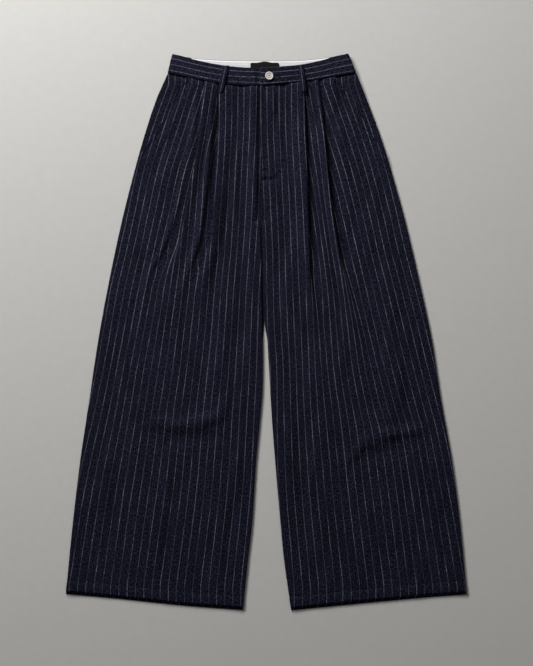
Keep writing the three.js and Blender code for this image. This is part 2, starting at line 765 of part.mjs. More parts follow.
function pocketFacing(side) {
  const grid = [];
  for (let r = 0; r < FACING_ROWS; r += 1) {
    const level = lerp(TOP_Y, mouthEnd(side) + FACING_END, r / (FACING_ROWS - 1));
    grid.push(bentRow(side, level, FRONT_ENDS, facingSection));
  }
  return clothWall(grid, () => CLOTH);
}

// Waistband: one strip from the right end under the button, round the back to the left end

const BAND_FRONT_STEPS = 12;
const BAND_BACK_STEPS = 12;
const BAND_TURN_STEPS = 4;
const BAND_ROWS = 4;

function bandRow(v) {
  const half = BAND_CLOTH / 2;
  const sides = [BAND_SEAM_FRONT, BAND_TOP_FRONT].map((edge) => [edge[0].x + half, edge.at(-1).x - half]);
  const rightX = lerp(sides[0][0], sides[1][0], v);
  const leftX = lerp(sides[0][1], sides[1][1], v);
  const turn = (BAND_FRONT_Z - BAND_BACK_Z) / 2;
  const frontY = (x) => lerp(bandSeamFront(x), bandTopFront(x), v);
  const backY = (x) => lerp(bandSeamBack(x), bandTopBack(x), v);
  const row = [];
  for (let i = 0; i < BAND_FRONT_STEPS; i += 1) {
    const x = lerp(BAND_UNDERLAP_X, rightX + turn, i / BAND_FRONT_STEPS);
    row.push(new THREE.Vector3(x, frontY(x), BAND_FRONT_Z));
  }
  for (let i = 0; i <= BAND_TURN_STEPS; i += 1) {
    const angle = (Math.PI * i) / BAND_TURN_STEPS;
    const x = rightX + turn * (1 - Math.sin(angle));
    row.push(new THREE.Vector3(x, frontY(rightX), BAND_BACK_Z + turn * (1 + Math.cos(angle))));
  }
  for (let i = 1; i < BAND_BACK_STEPS; i += 1) {
    const x = lerp(rightX + turn, leftX - turn, i / BAND_BACK_STEPS);
    row.push(new THREE.Vector3(x, backY(x), BAND_BACK_Z));
  }
  for (let i = 0; i <= BAND_TURN_STEPS; i += 1) {
    const angle = (Math.PI * i) / BAND_TURN_STEPS;
    const x = leftX - turn * (1 - Math.sin(angle));
    row.push(new THREE.Vector3(x, frontY(leftX), BAND_BACK_Z + turn * (1 - Math.cos(angle))));
  }
  for (let i = 1; i <= BAND_FRONT_STEPS; i += 1) {
    const x = lerp(leftX - turn, CENTRE_X, i / BAND_FRONT_STEPS);
    row.push(new THREE.Vector3(x, frontY(x), bandFrontZ(x)));
  }
  return row;
}

// Middle of the left half of the front band, which climbs over the right end
function bandFrontZ(x) {
  const climb = ramp(x, BAND_UNDERLAP_X + OVERLAP_SLOPE, BAND_UNDERLAP_X + OVERLAP_EASE);
  return lerp(BAND_FRONT_Z, BAND_OVERLAP_Z, climb);
}

const WELD = 1e-4;

function toManifold(geometry) {
  const bare = geometry.clone();
  bare.deleteAttribute('normal');
  bare.deleteAttribute('uv');
  const merged = mergeVertices(bare, WELD);
  return new wasm.Manifold(new wasm.Mesh({
    numProp: 3,
    vertProperties: new Float32Array(merged.attributes.position.array),
    triVerts: new Uint32Array(merged.index.array),
  }));
}

function fromManifold(solid) {
  const mesh = solid.getMesh();
  const geometry = new THREE.BufferGeometry();
  geometry.setAttribute('position', new THREE.Float32BufferAttribute(mesh.vertProperties, 3));
  geometry.setIndex([...mesh.triVerts]);
  geometry.computeVertexNormals();
  return geometry;
}

// Keyhole through the left end: a round eye for the shank and a slit behind it
const EYE_SEGMENTS = 16;

function buttonhole() {
  const depth = BAND_CLOTH + 2 * SEAM_GAP;
  const middle = BAND_OVERLAP_Z + SEAM_GAP / 2;
  const eye = new THREE.CylinderGeometry(BUTTONHOLE.eye, BUTTONHOLE.eye, depth, EYE_SEGMENTS);
  eye.rotateX(Math.PI / 2);
  eye.translate(BUTTON.x, BUTTON.y, middle);
  const length = BUTTONHOLE.end - BUTTON.x;
  const slit = new THREE.BoxGeometry(length, BUTTONHOLE.slit, depth);
  slit.translate(BUTTON.x + length / 2, BUTTON.y, middle);
  return toManifold(eye).add(toManifold(slit));
}

function waistband() {
  const grid = [];
  for (let r = 0; r <= BAND_ROWS; r += 1) grid.push(bandRow(1 - r / BAND_ROWS));
  const strip = clothWall(grid, () => BAND_CLOTH);
  return fromManifold(toManifold(strip).subtract(buttonhole()));
}

// The white lining of the back waistband, and the bare label on it

const LINING_Z = BAND_BACK_Z + BAND_CLOTH / 2 + SEAM_GAP + LINING_CLOTH / 2;
const LABEL_Z = LINING_Z + LINING_CLOTH + SEAM_GAP;
const LINING_STEPS = 12;
const LINING_ROWS = 3;
const LABEL_STEPS = 8;
const LABEL_ROWS = 2;

function lining() {
  const grid = [];
  for (let r = 0; r <= LINING_ROWS; r += 1) {
    const row = [];
    for (let c = 0; c <= LINING_STEPS; c += 1) {
      const x = lerp(LINING.from, LINING.to, c / LINING_STEPS);
      const top = bandTopBack(x) - LINING.margin;
      row.push(new THREE.Vector3(x, top - (LINING.height * r) / LINING_ROWS, LINING_Z));
    }
    grid.push(row);
  }
  return clothWall(grid, () => LINING_CLOTH);
}

function label() {
  const grid = [];
  for (let r = 0; r <= LABEL_ROWS; r += 1) {
    const row = [];
    for (let c = 0; c <= LABEL_STEPS; c += 1) {
      const fromMiddle = c / LABEL_STEPS - 0.5;
      const x = LABEL.x + fromMiddle * LABEL.width;
      const bump = LABEL.bump * bell(fromMiddle, LABEL.bumpWidth);
      const top = bandTopBack(x) - LINING.margin - LABEL.dip + bump;
      const y = lerp(top, bandTopBack(x) - LABEL.height, r / LABEL_ROWS);
      row.push(new THREE.Vector3(x, y, LABEL_Z));
    }
    grid.push(row);
  }
  return clothWall(grid, () => LINING_CLOTH);
}

// Belt loops

const LOOP_STEPS = 9;
const LOOP_COLUMNS = 2;
const LOOP_PROBES = [-0.5, -0.25, 0, 0.25, 0.5]; // shares of its width, from its middle
const LOOP_SEAM_MARGIN = 3;
const LOOPS = [
  { side: SIDES.right, top: -77.5, bottom: -88.5, topY: 519.2, bottomY: 467 },
  { side: SIDES.left, top: 67.4, bottom: 74, topY: 520.4, bottomY: 468.5 },
];

function acrossLoop(x) {
  const places = [];
  for (let c = 0; c <= LOOP_COLUMNS; c += 1) places.push(x + (c / LOOP_COLUMNS - 0.5) * LOOP_WIDTH);
  return places;
}

function surfaceUnderLoop(side, x, y) {
  let top = -Infinity;
  for (const share of LOOP_PROBES) {
    const at = x + share * LOOP_WIDTH;
    const onBand = y > bandSeamFront(at) - LOOP_SEAM_MARGIN;
    const height = onBand ? BAND_FRONT_Z + BAND_CLOTH / 2 : frontTop(side, (at - CENTRE_X) * side.sign, y);
    top = Math.max(top, height);
  }
  return top;
}

function frontLoop(loop) {
  const grid = [];
  for (let r = 0; r <= LOOP_STEPS; r += 1) {
    const t = r / LOOP_STEPS;
    const y = lerp(loop.topY, loop.bottomY, t);
    const x = lerp(loop.top, loop.bottom, t);
    const arch = LOOP_ARCH * Math.sin(Math.PI * t) ** 2;
    const z = surfaceUnderLoop(loop.side, x, y) + SEAM_GAP + LOOP_CLOTH / 2 + arch;
    grid.push(acrossLoop(x).map((at) => new THREE.Vector3(at, y, z)));
  }
  return clothWall(grid, () => LOOP_CLOTH);
}

const BACK_LOOPS = [
  { name: 'belt_loop_back_right', x: -112 },
  { name: 'belt_loop_back_centre', x: CENTRE_X },
  { name: 'belt_loop_back_left', x: 92 },
];

const BACK_LOOP_STEPS = 3;

function backLoop(loop) {
  const grid = [];
  const top = bandTopBack(loop.x) - BACK_LOOP_MARGIN;
  const length = BAND_HEIGHT - 2 * BACK_LOOP_MARGIN;
  for (let r = 0; r <= BACK_LOOP_STEPS; r += 1) {
    const y = top - (length * r) / BACK_LOOP_STEPS;
    grid.push(acrossLoop(loop.x).map((at) => new THREE.Vector3(at, y, BACK_LOOP_CLOTH / 2)));
  }
  return clothWall(grid, () => BACK_LOOP_CLOTH);
}

// Button: a metal cap with a raised rim round a shallow dish and a rivet's dome in its
// middle, on a shank that ends just above the right end. Its cap in shares of its height
// from the seat, at these distances from its axis:
const CAP = [
  { r: BUTTON.shank, share: 0 },
  { r: BUTTON.radius - BUTTON.rim, share: 0 },
  { r: BUTTON.radius, share: 0.4 },
  { r: BUTTON.radius - BUTTON.rim * 0.4, share: 0.8 },
  { r: BUTTON.radius - BUTTON.rim * 1.2, share: 1 },
  { r: BUTTON.radius - BUTTON.rim * 2.2, share: 0.75 },
  { r: BUTTON.shank, share: 0.8 },
  { r: BUTTON.shank * 0.5, share: 0.9 },
  { r: 0, share: 0.9 },
];
const BUTTON_SEGMENTS = 20;

function button() {
  const under = BAND_FRONT_Z + BAND_CLOTH / 2 + SEAM_GAP;
  const seat = BAND_OVERLAP_Z + BAND_CLOTH / 2 + SEAM_GAP;
  const shank = [new THREE.Vector2(0, under), new THREE.Vector2(BUTTON.shank, under)];
  const cap = CAP.map(({ r, share }) => new THREE.Vector2(r, seat + share * BUTTON.height));
  const geometry = new THREE.LatheGeometry([...shank, ...cap], BUTTON_SEGMENTS);
  geometry.rotateX(Math.PI / 2);
  geometry.translate(BUTTON.x, BUTTON.y, 0);
  return geometry;
}

const trousers = new THREE.Group();
for (const side of Object.values(SIDES)) {
  trousers.add(meshOf(`front_${side.name}`, frontPanel(side), FINISHES.cloth));
  trousers.add(meshOf(`back_${side.name}`, backPanel(side), FINISHES.cloth));
  trousers.add(meshOf(`pocket_facing_${side.name}`, pocketFacing(side), FINISHES.cloth));
}
trousers.add(meshOf('waistband', waistband(), FINISHES.cloth));
trousers.add(meshOf('waistband_lining', lining(), FINISHES.lining));
trousers.add(meshOf('label', label(), FINISHES.label));
for (const loop of LOOPS) {
  trousers.add(meshOf(`belt_loop_front_${loop.side.name}`, frontLoop(loop), FINISHES.cloth));
}
for (const loop of BACK_LOOPS) {
  trousers.add(meshOf(loop.name, backLoop(loop), FINISHES.cloth));
}
trousers.add(meshOf('button', button(), FINISHES.button));

export default trousers;
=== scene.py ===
"""Wide-leg pinstripe trousers with two pleats a side, laid flat, face up.

Sizes in the tables are millimetres; every mesh is made in metres. +Y points to the waist,
+Z up out of the floor, and right and left are the wearer's, so the right leg is on the -X
side. On a leg, a is the distance outward from the centre seam.
"""
import math

import bmesh
import bpy
import numpy as np
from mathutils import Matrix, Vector
from mathutils.bvhtree import BVHTree


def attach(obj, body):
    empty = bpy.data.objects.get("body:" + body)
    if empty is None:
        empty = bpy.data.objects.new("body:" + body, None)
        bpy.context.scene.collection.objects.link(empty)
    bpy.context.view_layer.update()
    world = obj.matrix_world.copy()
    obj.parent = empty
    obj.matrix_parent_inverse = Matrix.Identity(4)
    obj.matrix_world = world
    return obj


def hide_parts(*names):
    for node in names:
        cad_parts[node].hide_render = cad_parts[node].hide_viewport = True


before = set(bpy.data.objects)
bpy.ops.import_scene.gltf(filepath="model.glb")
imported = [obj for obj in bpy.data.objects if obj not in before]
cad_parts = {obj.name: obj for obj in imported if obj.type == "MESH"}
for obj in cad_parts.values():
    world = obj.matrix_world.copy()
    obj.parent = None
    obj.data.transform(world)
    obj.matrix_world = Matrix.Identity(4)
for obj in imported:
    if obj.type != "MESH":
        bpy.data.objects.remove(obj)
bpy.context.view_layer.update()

MM = 0.001
BODY = "root"
SIGN = {"right": -1, "left": 1}

# Cloth and seams, as on the solids; the shown shells are a little thinner
CLOTH = 1.3
BAND_CLOTH = 2.6
LINING_CLOTH = 1.0
SHELL = 1.0
HEM_SHELL = 1.9
BAND_SHELL = 2.2
LINING_SHELL = 0.8
SEAM_GAP = 0.3
LAYER = CLOTH + SEAM_GAP
LAP = LAYER + 0.25

CENTRE_X = -11
CROTCH_Y = 215
CROTCH_BLEND = 7
BACKS_PART = (-20, 25)  # where the inside leg edges of the back panels part
HEM_DEPTH = 20
HEM_STEP = 3
BACK_HEM_DROP = 6

# Heights of the middle of each layer above the floor
BACK_Z = CLOTH / 2
FRONT_Z = 3.9
FRONT_LOWEST_Z = 2.4
EDGE_Z = 4.7
SEAM_Z = 7.6
BACK_SEAM_Z = 1.9
BAND_BACK_Z = 3.1
BAND_FRONT_Z = 8.6
BAND_OVERLAP_Z = BAND_FRONT_Z + BAND_CLOTH + SEAM_GAP
LINING_Z = BAND_BACK_Z + BAND_CLOTH / 2 + SEAM_GAP + LINING_CLOTH / 2
LABEL_Z = LINING_Z + LINING_CLOTH + SEAM_GAP
SEAM_RISE = 70
BACK_SEAM_RISE = 18
EDGE_SLOPE = 40  # width over which the front slopes to a turned edge
EDGE_QUIET = (0.2, 0.9)  # shares of that slope between which the creases die away
EDGE_SEAM_Z = 2.8
EDGE_SEAM_WAIST_Z = 4.7
EDGE_SEAM_GAP = 0.85
EDGE_RADIUS = 2.3
EDGE_ROOM = EDGE_RADIUS + CLOTH / 2

# Where a groove, ridge or swell has two numbers, they are its height and its width.

# The fly: the left front is raised over the right one, which is pressed down beside its edge
FLY_UNDERLAP = 18
FLY_UNDERLAP_TAPER = 40
FLY_END_Y = 290
FLY_RAISE_Y = (CROTCH_Y, FLY_END_Y - 15)
FLY_RAISE_WIDTH = 45
FLY_RAISE_WIDER = 30  # under the overlap of the waistband
FLY_SWELL = (3.4, 14)
FLY_SWELL_A = 14
FLY_SWELL_Y = (CROTCH_Y - 5, CROTCH_Y + 25)
FLY_HOLLOW = (2.4, 5)
FLY_HOLLOW_A = 3
FLY_EDGE_ROLL = (1.6, 8)  # the folded edge stands proud
FLY_LINE = [(46, 478), (44.5, 400), (43.5, 330), (41.5, 314), (34, 303.5), (24, 299), (7, 298)]
FLY_GROOVE = (2.6, 6)
FLY_PUCKER = 0.8
FLY_PUCKER_PITCH = 11
FLY_PUCKER_DRIFT = 17  # length over which the puckers come closer and part again
FLY_FAINTER = 0.35  # the share of the dip that is left along the straight part
FLY_FAINT_FROM = (322, 350)
FLY_TACKS = ((11, 315.5, 15), (8, 338, 13))  # where the two bar tacks are, and their lengths
FLY_TACK_DIP = (1.5, 5)
FLY_TACK_REACH = 0.7  # of the tack's length, to each side of its middle

# Dips beside the seams, and the rolled mouth of each pocket with its puckered stitching
SEAM_GROOVE = (1.5, 6)
HEM_GROOVE = (0.7, 5)
POCKET_UNDERLAP = 14
POCKET_RAISE = (45, POCKET_UNDERLAP + 4)  # the front rises between these, inside the mouth
POCKET_FADE = 30
POCKET_OPENS = (-2, 12)  # above the end of the mouth
POCKET_ROLL = (0.8, 5)
POCKET_GROOVE = {"right": (0.35, 6), "left": (0.9, 6)}
POCKET_GROOVE_INSET = 8
POCKET_PUCKER_PITCH = 17
POCKET_PUCKER_DRIFT = 29
CREASE_STRENGTH = 1.35  # the shown creases are crisper than those of the solids
CREASES_AT_HEM = 0.15
CREASES_AT_WAIST = 0.6  # share of the creases that stays where the cloth is sewn in

# The waistband. Its right end swells, then dips just before the left end lies on it.
BAND_HEIGHT = 36
BAND_SIDE_BLEND = 60
BAND_UNDERLAP_X = 30
OVERLAP_RISE = (BAND_UNDERLAP_X + 35, BAND_UNDERLAP_X + 3)
BAND_DIP = (2.4, 6)
BAND_DIP_X = -15
BAND_SWELL = (1.2, 13)
RIM_SHARE = (0.35, 0.8)  # of the thickness, on the first and second row of a strip's rim

# Belt loops, lining, label and button
LOOP_WIDTH = 11
LOOP_SHELL = 1.7
LOOP_ARCH = 2.4
LOOP_CLEAR = 0.1
LOOP_BEND = 1.1  # how far its two long edges bend down
LOOP_HOLD = 2  # rows to each side that hold a row up
LOOP_CUT = 60
LOOP_FIRST_STRIPE = 1.2
FRONT_LOOPS = {
    "right": {"top": -77.5, "bottom": -88.5, "top_y": 519.2, "bottom_y": 467},
    "left": {"top": 67.4, "bottom": 74, "top_y": 520.4, "bottom_y": 468.5},
}
BACK_LOOPS = {"right": -112, "centre": CENTRE_X, "left": 92}
BACK_LOOP_CLOTH = 1.5
BACK_LOOP_SHELL = 1.4
BACK_LOOP_INSET = 1
LINING = {"from": -146, "to": 124, "height": 33, "inset": 1}
LABEL = {
    "x": -3, "width": 56, "height": 26, "below": 4, "hump": (2.4, 0.3),
    "corner": 2.2, "corner_width": 0.06,
}
BUTTON = {"x": 6, "y": 498.5, "height": 3, "eye": 2.6, "slit_end": 27}


def table(columns, *rows):
    """A short table with named columns."""
    return {name: np.array(column, float) for name, column in zip(columns.split(), zip(*rows))}


BAND_TOP_FRONT = table(
    "x y",
    (-184, 542), (-168, 539), (-139, 531), (-110, 524.5), (-80, 519.5), (-51, 516.5),
    (-12, 515), (27, 517), (66, 521.5), (105, 529), (134, 537.5), (161, 543),
)
BAND_TOP_BACK = table(
    "x y",
    (-184, 542), (-131, 533.5), (-60, 530), (0, 529.5), (66, 530.5), (109, 534.5), (161, 543),
)
BAND_SEAM_FRONT = table(
    "x y",
    (-193, 505), (-168, 500), (-129, 491.5), (-90, 484.5), (-51, 481), (-11, 480.5),
    (27, 483), (66, 487), (105, 493), (144, 500), (176, 505.5),
)

OUTER_EDGE = {
    "right": table(
        "y a",
        (506, 180.5), (453, 204), (375, 229.5), (297, 251), (219, 270.5), (102, 295.5),
        (-15, 317), (-132, 334.5), (-249, 352), (-366, 366), (-512, 380.5),
    ),
    "left": table(
        "y a",
        (506, 186.5), (453, 207.5), (375, 236.5), (297, 260), (219, 281.5), (102, 309),
        (-15, 334), (-132, 352), (-249, 373), (-366, 388.5), (-512, 402.5),
    ),
}
INNER_EDGE = {
    "right": table(
        "y a",
        (215, -0.6), (102, -2.2), (-93, -4.2), (-171, 1.2), (-249, 8.5), (-366, 16),
        (-444, 24.5), (-542, 34.5),
    ),
    "left": table(
        "y a",
        (215, 1.2), (102, 6.4), (-93, 17.5), (-171, 22), (-249, 28), (-366, 38),
        (-444, 45.5), (-542, 59.5),
    ),
}
FRONT_HEM = {
    "right": table("a y", (34, -536.5), (157, -527), (280, -514), (380.5, -505)),
    "left": table("a y", (59.5, -537), (135, -529.5), (233, -520), (332, -511), (402.5, -506)),
}
POCKET_MOUTH = {
    "right": table("y a", (500, 140), (463, 167), (418, 187), (379, 211), (340, 240)),
    "left": table("y a", (500, 144), (463, 171), (426, 193), (381, 219.5), (346, 247)),
}
POCKET_END = {"right": 340, "left": 346}

# Pleats: where the folded edge lies, how far the cloth goes back beneath it, the height of
# the edge, the width of the hollow beside it, how far it has opened out into a plain soft
# ridge (0 to 1), and the height of that ridge
PLEAT_COLUMNS = "y fold under height valley open ridge"
PLEATS = {
    "right": [
        table(
            PLEAT_COLUMNS,
            (484, 79, 20, 3.4, 5, 0, 3), (415, 82, 17, 6.5, 4, 0, 4), (335, 86, 9, 8.8, 5, 0, 6),
            (258, 92, 7, 9, 8, 0.1, 6.5), (180, 100, 5, 8, 12, 0.4, 6), (70, 117, 2, 4, 28, 1, 2.6),
            (-60, 126, 2, 3, 28, 1, 0.4), (-540, 152, 2, 3, 24, 1, 0),
        ),
        table(
            PLEAT_COLUMNS,
            (488, 108, 20, 3.4, 5, 0, 3), (434, 114, 15, 6, 4, 0, 3.6), (380, 120, 12, 7, 5, 0, 4),
            (320, 130, 10, 5.6, 7, 0.02, 3.6), (240, 146, 8, 4.6, 10, 0.12, 3.2),
            (170, 160, 5, 4, 20, 0.5, 2.6), (90, 180, 3, 3.4, 36, 1, 0.8),
            (-540, 252, 2, 3, 26, 1, 0),
        ),
    ],
    "left": [
        table(
            PLEAT_COLUMNS,
            (484, 82, 20, 3.4, 8, 0, 3), (434, 86.5, 18, 6.4, 7, 0, 4), (335, 90, 12, 9.6, 8, 0, 5),
            (258, 94, 8, 10, 10, 0.1, 6), (141, 100, 7, 8, 13, 0.3, 5),
            (40, 106, 4, 5, 19, 0.8, 3.6), (-60, 112, 2, 3, 24, 1, 0.8),
            (-540, 176, 2, 3, 24, 1, 0),
        ),
        table(
            PLEAT_COLUMNS,
            (488, 112, 20, 3.4, 8, 0, 3), (434, 120, 18, 6.4, 8, 0, 4),
            (356, 128, 11, 9.6, 12, 0, 6), (258, 138, 8, 10.6, 15, 0.1, 7),
            (161, 154, 6, 9, 17, 0.35, 6.5), (70, 169, 4, 6, 26, 0.8, 5),
            (-20, 186, 2, 4, 32, 1, 3.4), (-100, 198, 2, 3, 34, 1, 0.8),
            (-540, 268, 2, 3, 24, 1, 0),
        ),
    ],
}

# The swell beyond the hollow of each pleat: half its width, and its height; and the share
# of that height down the leg
SHOULDERS = {"right": ((11, 7), (9, 4)), "left": ((14, 2), (16, 2.5))}
SHOULDER_SHARE = table(
    "y share",
    (500, 0), (470, 0.3), (430, 0.75), (330, 1), (200, 0.9), (100, 0.45), (-20, 0.1), (-200, 0),
)

# Creases, each a line from one point to another, with the height of the ridge (or depth of
# the trough) and its width. The first ones of each leg are its main ones.
CREASE_COLUMNS = "a0 y0 a1 y1 height width"
CREASES = {
    "right": table(
        CREASE_COLUMNS,
        (64, -122, 76, -160, 1.2, 14), (76, -160, 118, -176, 3, 20), (118, -176, 167, -182, 3, 21),
        (167, -182, 216, -173, 2.2, 18), (216, -173, 245, -153, 1.8, 17),
        (245, -153, 253, -124, 1.4, 15), (70, -205, 176, -212, -1.4, 18),
        (33, 345, 34, 20, -1.6, 15), (14, 190, 18, -60, 2.2, 12), (254, 60, 246, -120, -1.8, 16),
        (210, 120, 226, -160, 1.8, 26), (150, 330, 176, 190, -1.6, 18), (70, 60, 84, -300, 1.4, 30),
        (190, -220, 214, -480, 1.2, 32), (176, -206, 190, -226, -1.2, 13),
        (52, 300, 58, 110, 0.9, 14), (200, 300, 226, 150, 0.9, 20), (120, 20, 132, -110, 0.8, 17),
        (286, -40, 300, -240, -0.9, 20), (120, -260, 138, -430, -0.8, 22),
        (36, -120, 52, -330, 0.9, 15), (236, -180, 258, -330, 0.8, 18),
        (70, -330, 96, -500, 0.8, 20), (300, -300, 322, -470, 0.8, 18), (20, 430, 24, 380, 0.9, 8),
        (40, 445, 46, 396, -0.9, 9), (30, 466, 33, 430, 0.8, 7), (58, 470, 62, 360, -1.2, 10),
        (60, 330, 66, 240, -1.4, 11), (140, 490, 147, 462, -1.8, 7), (152, 492, 158, 470, -1.5, 6),
        (165, 440, 184, 380, 0.8, 10), (186, 380, 204, 300, -0.9, 11),
    ),
    "left": table(
        CREASE_COLUMNS,
        (172, -252, 207, -206, 2, 16), (207, -206, 268, -196, 3.2, 18),
        (268, -196, 309, -190, 2.6, 17), (196, -244, 290, -228, -1.6, 20),
        (198, -96, 222, -66, 2.2, 14), (46, 250, 50, 190, -1.4, 16), (40, 170, 30, -40, -1.6, 14),
        (72, -30, 82, -460, -1.4, 20), (104, -80, 112, -440, 1.4, 26),
        (250, 120, 262, -110, 1.4, 34), (270, -250, 300, -480, 1.2, 34),
        (184, -120, 198, -160, -1, 14), (60, 300, 64, 120, 0.9, 14), (216, 290, 240, 150, 0.9, 20),
        (140, -30, 152, -150, 0.8, 17), (310, -30, 322, -230, -0.9, 20),
        (150, -270, 166, -440, -0.9, 22), (56, -120, 64, -330, 0.9, 15),
        (226, -280, 244, -420, -0.7, 18), (110, -330, 132, -500, 0.8, 20),
        (340, -300, 356, -470, 0.8, 18), (23, 462, 26, 428, 1, 7), (32, 458, 37, 418, -1, 8),
        (44, 462, 52, 430, 0.7, 8), (56, 446, 60, 410, -0.6, 8), (12, 440, 18, 400, -0.9, 7),
        (26, 420, 28, 350, -1.1, 8), (66, 440, 70, 340, -0.9, 9), (148, 492, 156, 466, -1.8, 7),
        (160, 480, 168, 450, -1.2, 7), (170, 420, 190, 350, 0.8, 11),
    ),
}

# The button from the foot of its shank outward and up over its rim, in to the pin hole,
# with heights measured from its top
BUTTON_PROFILE = table(
    "radius z",
    (0, -5.9), (2, -5.9), (2, -3), (7, -3), (7.7, -2.5), (8, -1.8), (7.9, -0.8), (7.5, -0.3),
    (6.9, -0.05), (6.2, -0.15), (5.6, -0.6), (4.9, -1.7), (4.3, -1.7), (3.9, -0.6), (3.4, -0.4),
    (1.9, -0.4), (1.6, -0.8), (1.5, -2.6), (0, -2.7),
)

# Low swells all over the cloth: their lengths, the turn at which each starts, and its height
WAVES = table(
    "across along turn height",
    (61, 310, 0.4, 0.66), (43, 190, 1.9, 0.5), (29, 231, 4.1, 0.4), (21, 143, 2.7, 0.22),
)
WAVE_DRIFT = 1.7

# Stripes: where one numbered stripe of each stretch of a front lies, and the distance to
# the next. The pleats hide the numbers between the stretches at the waist.
STRIPE_COLUMNS = "y a pitch"
STRIPES = {
    "right": {
        "centre": (3, table(
            STRIPE_COLUMNS,
            (484, 44, 12), (395, 45, 11.8), (317, 49, 11.8), (239, 53, 12), (161, 58, 12),
            (83, 65, 12.4), (5, 70, 12.8), (-73, 76, 13.6), (-151, 83, 14.2), (-307, 95, 15),
            (-495, 117, 15.7),
        )),
        "between": (9, table(
            STRIPE_COLUMNS,
            (484, 93, 13), (395, 107, 12), (356, 114, 10.4), (317, 120, 10.5), (239, 126, 11.5),
            (161, 133, 11.5), (83, 140, 12.5), (5, 149, 13.2), (-73, 158, 13.8),
            (-151, 169, 14.3), (-229, 177, 14.7), (-307, 186, 15.5), (-385, 197, 15.9),
            (-495, 212, 15.9),
        )),
        "side": (16, table(
            STRIPE_COLUMNS,
            (484, 121, 12.6), (434, 137, 13.2), (395, 149, 13.5), (317, 174, 13.4),
            (239, 191, 13.3), (161, 208, 13.3), (83, 225, 13.6), (5, 240, 13.2), (-73, 255, 13),
            (-151, 268, 13.8), (-307, 297, 15.4), (-495, 325, 16.1),
        )),
    },
    "left": {
        "centre": (0, table(
            STRIPE_COLUMNS,
            (484, 60, 12), (395, 61, 12), (317, 65, 12.2), (239, 69, 12.3), (161, 72, 12.2),
            (83, 75, 12.6), (5, 79, 13), (-73, 82, 12.6), (-151, 85, 13.2), (-307, 95, 15),
            (-495, 113, 15.8),
        )),
        "between": (6, table(
            STRIPE_COLUMNS,
            (484, 85, 11), (434, 92, 11.5), (395, 97, 12), (356, 102, 11.6), (317, 108, 10.4),
            (239, 119, 8.8), (161, 130, 9), (83, 141, 10.5), (5, 148, 11.6), (-73, 155, 12.4),
            (-151, 167, 13.7), (-190, 173, 14.4), (-307, 186, 15.2), (-495, 209, 15.9),
        )),
        "side": (14, table(
            STRIPE_COLUMNS,
            (484, 110, 12.8), (434, 127, 13), (395, 140, 13.2), (317, 164, 13.3),
            (239, 184, 13.3), (161, 201, 13.4), (83, 220, 13.7), (5, 238, 14), (-73, 257, 14),
            (-151, 277, 14), (-190, 288, 13.8), (-307, 308, 14.6), (-495, 336, 15.8),
        )),
    },
}
PLAIN_PITCH = 15.9  # between stripes where the cloth lies plain
FACING_SHIFT = {"right": 0.4, "left": 0.25}  # of a pitch, as the facing is cut apart
WIDEST_PITCH = 60
BAND_PITCH = 10.7
BAND_SKEW = 0.25  # of a pitch, by which the strip was cut off the straight
BAND_FIRST_STRIPE = 7.8  # below the top edge

# Ten points across each pleat: its heights where it has opened into a plain ridge, how far
# before its fold it begins to rise, and what rounds it
OPEN_RIDGE = (0, 0.5, 0.85, 1, 0.92, 0.72, 0.42, 0.12, -0.06, 0)
FOLD_POINT = 3  # the point on its folded edge
EXIT_POINT = 8  # the point where the cloth shows again
PLEAT_APPROACH = (32, 15)
OPEN_APPROACH = 15
PLEAT_SWELL = 0.7  # share of its height halfway up to the fold
PLEAT_SINK = 1.4
PLEAT_FOOT = 2
PLEAT_STRETCHES = {"first pleat": (0, "centre", "between"), "second pleat": (1, "between", "side")}

# Fineness of the modelled cloth
ROW_STEP = 3.3
EDGE_COLUMNS = 8
CENTRE_COLUMNS = 28
BETWEEN_COLUMNS = 18
SIDE_COLUMNS = 34
PLEAT_STEPS = 26
BACK_COLUMNS = 39
BACK_ROW_STEP = 9
TOP_Y = 484
BOTTOM_Y = -536
SEAM_BEND = 150
HEM_BEND = 130
FACING_END = 6
LANDING_STEPS = 4
BAND_ROWS = 16
BAND_STEPS = 60
BAND_TURN_STEPS = 10
LINING_STEPS = (13, 91)
LABEL_STEPS = (13, 41)
LOOP_STEPS = (33, 9)
BACK_LOOP_STEPS = (17, 9)
BUTTON_SIDES = 64
SAME_PLACE = 0.01  # points closer than this are joined
DROP_HEIGHT = 0.1

# Sewing: length, gap and thickness of the stitches, then where each row of them lies
STITCH = 3.0
STITCH_GAP = 1.1
THREAD_RADIUS = 0.34
THREAD_SIDES = 6
# Each ring of a stitch: how far along it lies, its share of the thickness, and its lift
STITCH_RINGS = (
    (0, 0.15, -0.25), (0.2, 0.9, 0.05), (0.5, 1, 0.16), (0.8, 0.9, 0.05), (1, 0.15, -0.25),
)
HEM_ROW_INSET = (3, 4)
HEM_ROW_STEPS = 90
POCKET_ROW_INSET = 5
POCKET_TOP_A = 150
POCKET_ROW_ENDS = (4, 8)  # below the waistband seam, and above the end of the mouth
POCKET_ROW_STEPS = 60
TACK_STROKE = 0.8
TACK_HEIGHT = 2
TACK_STITCH = (2.2, 0)  # length and gap
HOLE_STITCH = (1.4, 0.2)
HOLE_ROWS = (1.0, 1.7)  # outside the buttonhole's edge
HOLE_OPENING = 0.5  # the eye leaves this much of a turn free on each side of the slit
HOLE_STEPS = 24
BAND_ROW_INSET = 2
BAND_TOP_ROW = (-176, 152)
BAND_SEAM_ROW = (-180, 165)
BAND_ROW_STEPS = 120
BAND_END_INSET = 2.2
BAND_END_ROW = (512, 484)
LABEL_ROW_AWAY = 3.2
LABEL_ROW = (528, 502)
LOOP_TACK_INSET = 3
LOOP_TACK_HEIGHT = 1.8
LOOP_TACK_SHORT = 1  # at each end
LOOP_ROW_INSET = 4
LOOP_ROW_ASIDE = 0.36  # of the width


def lerp(start, end, t):
    return start + (end - start) * t


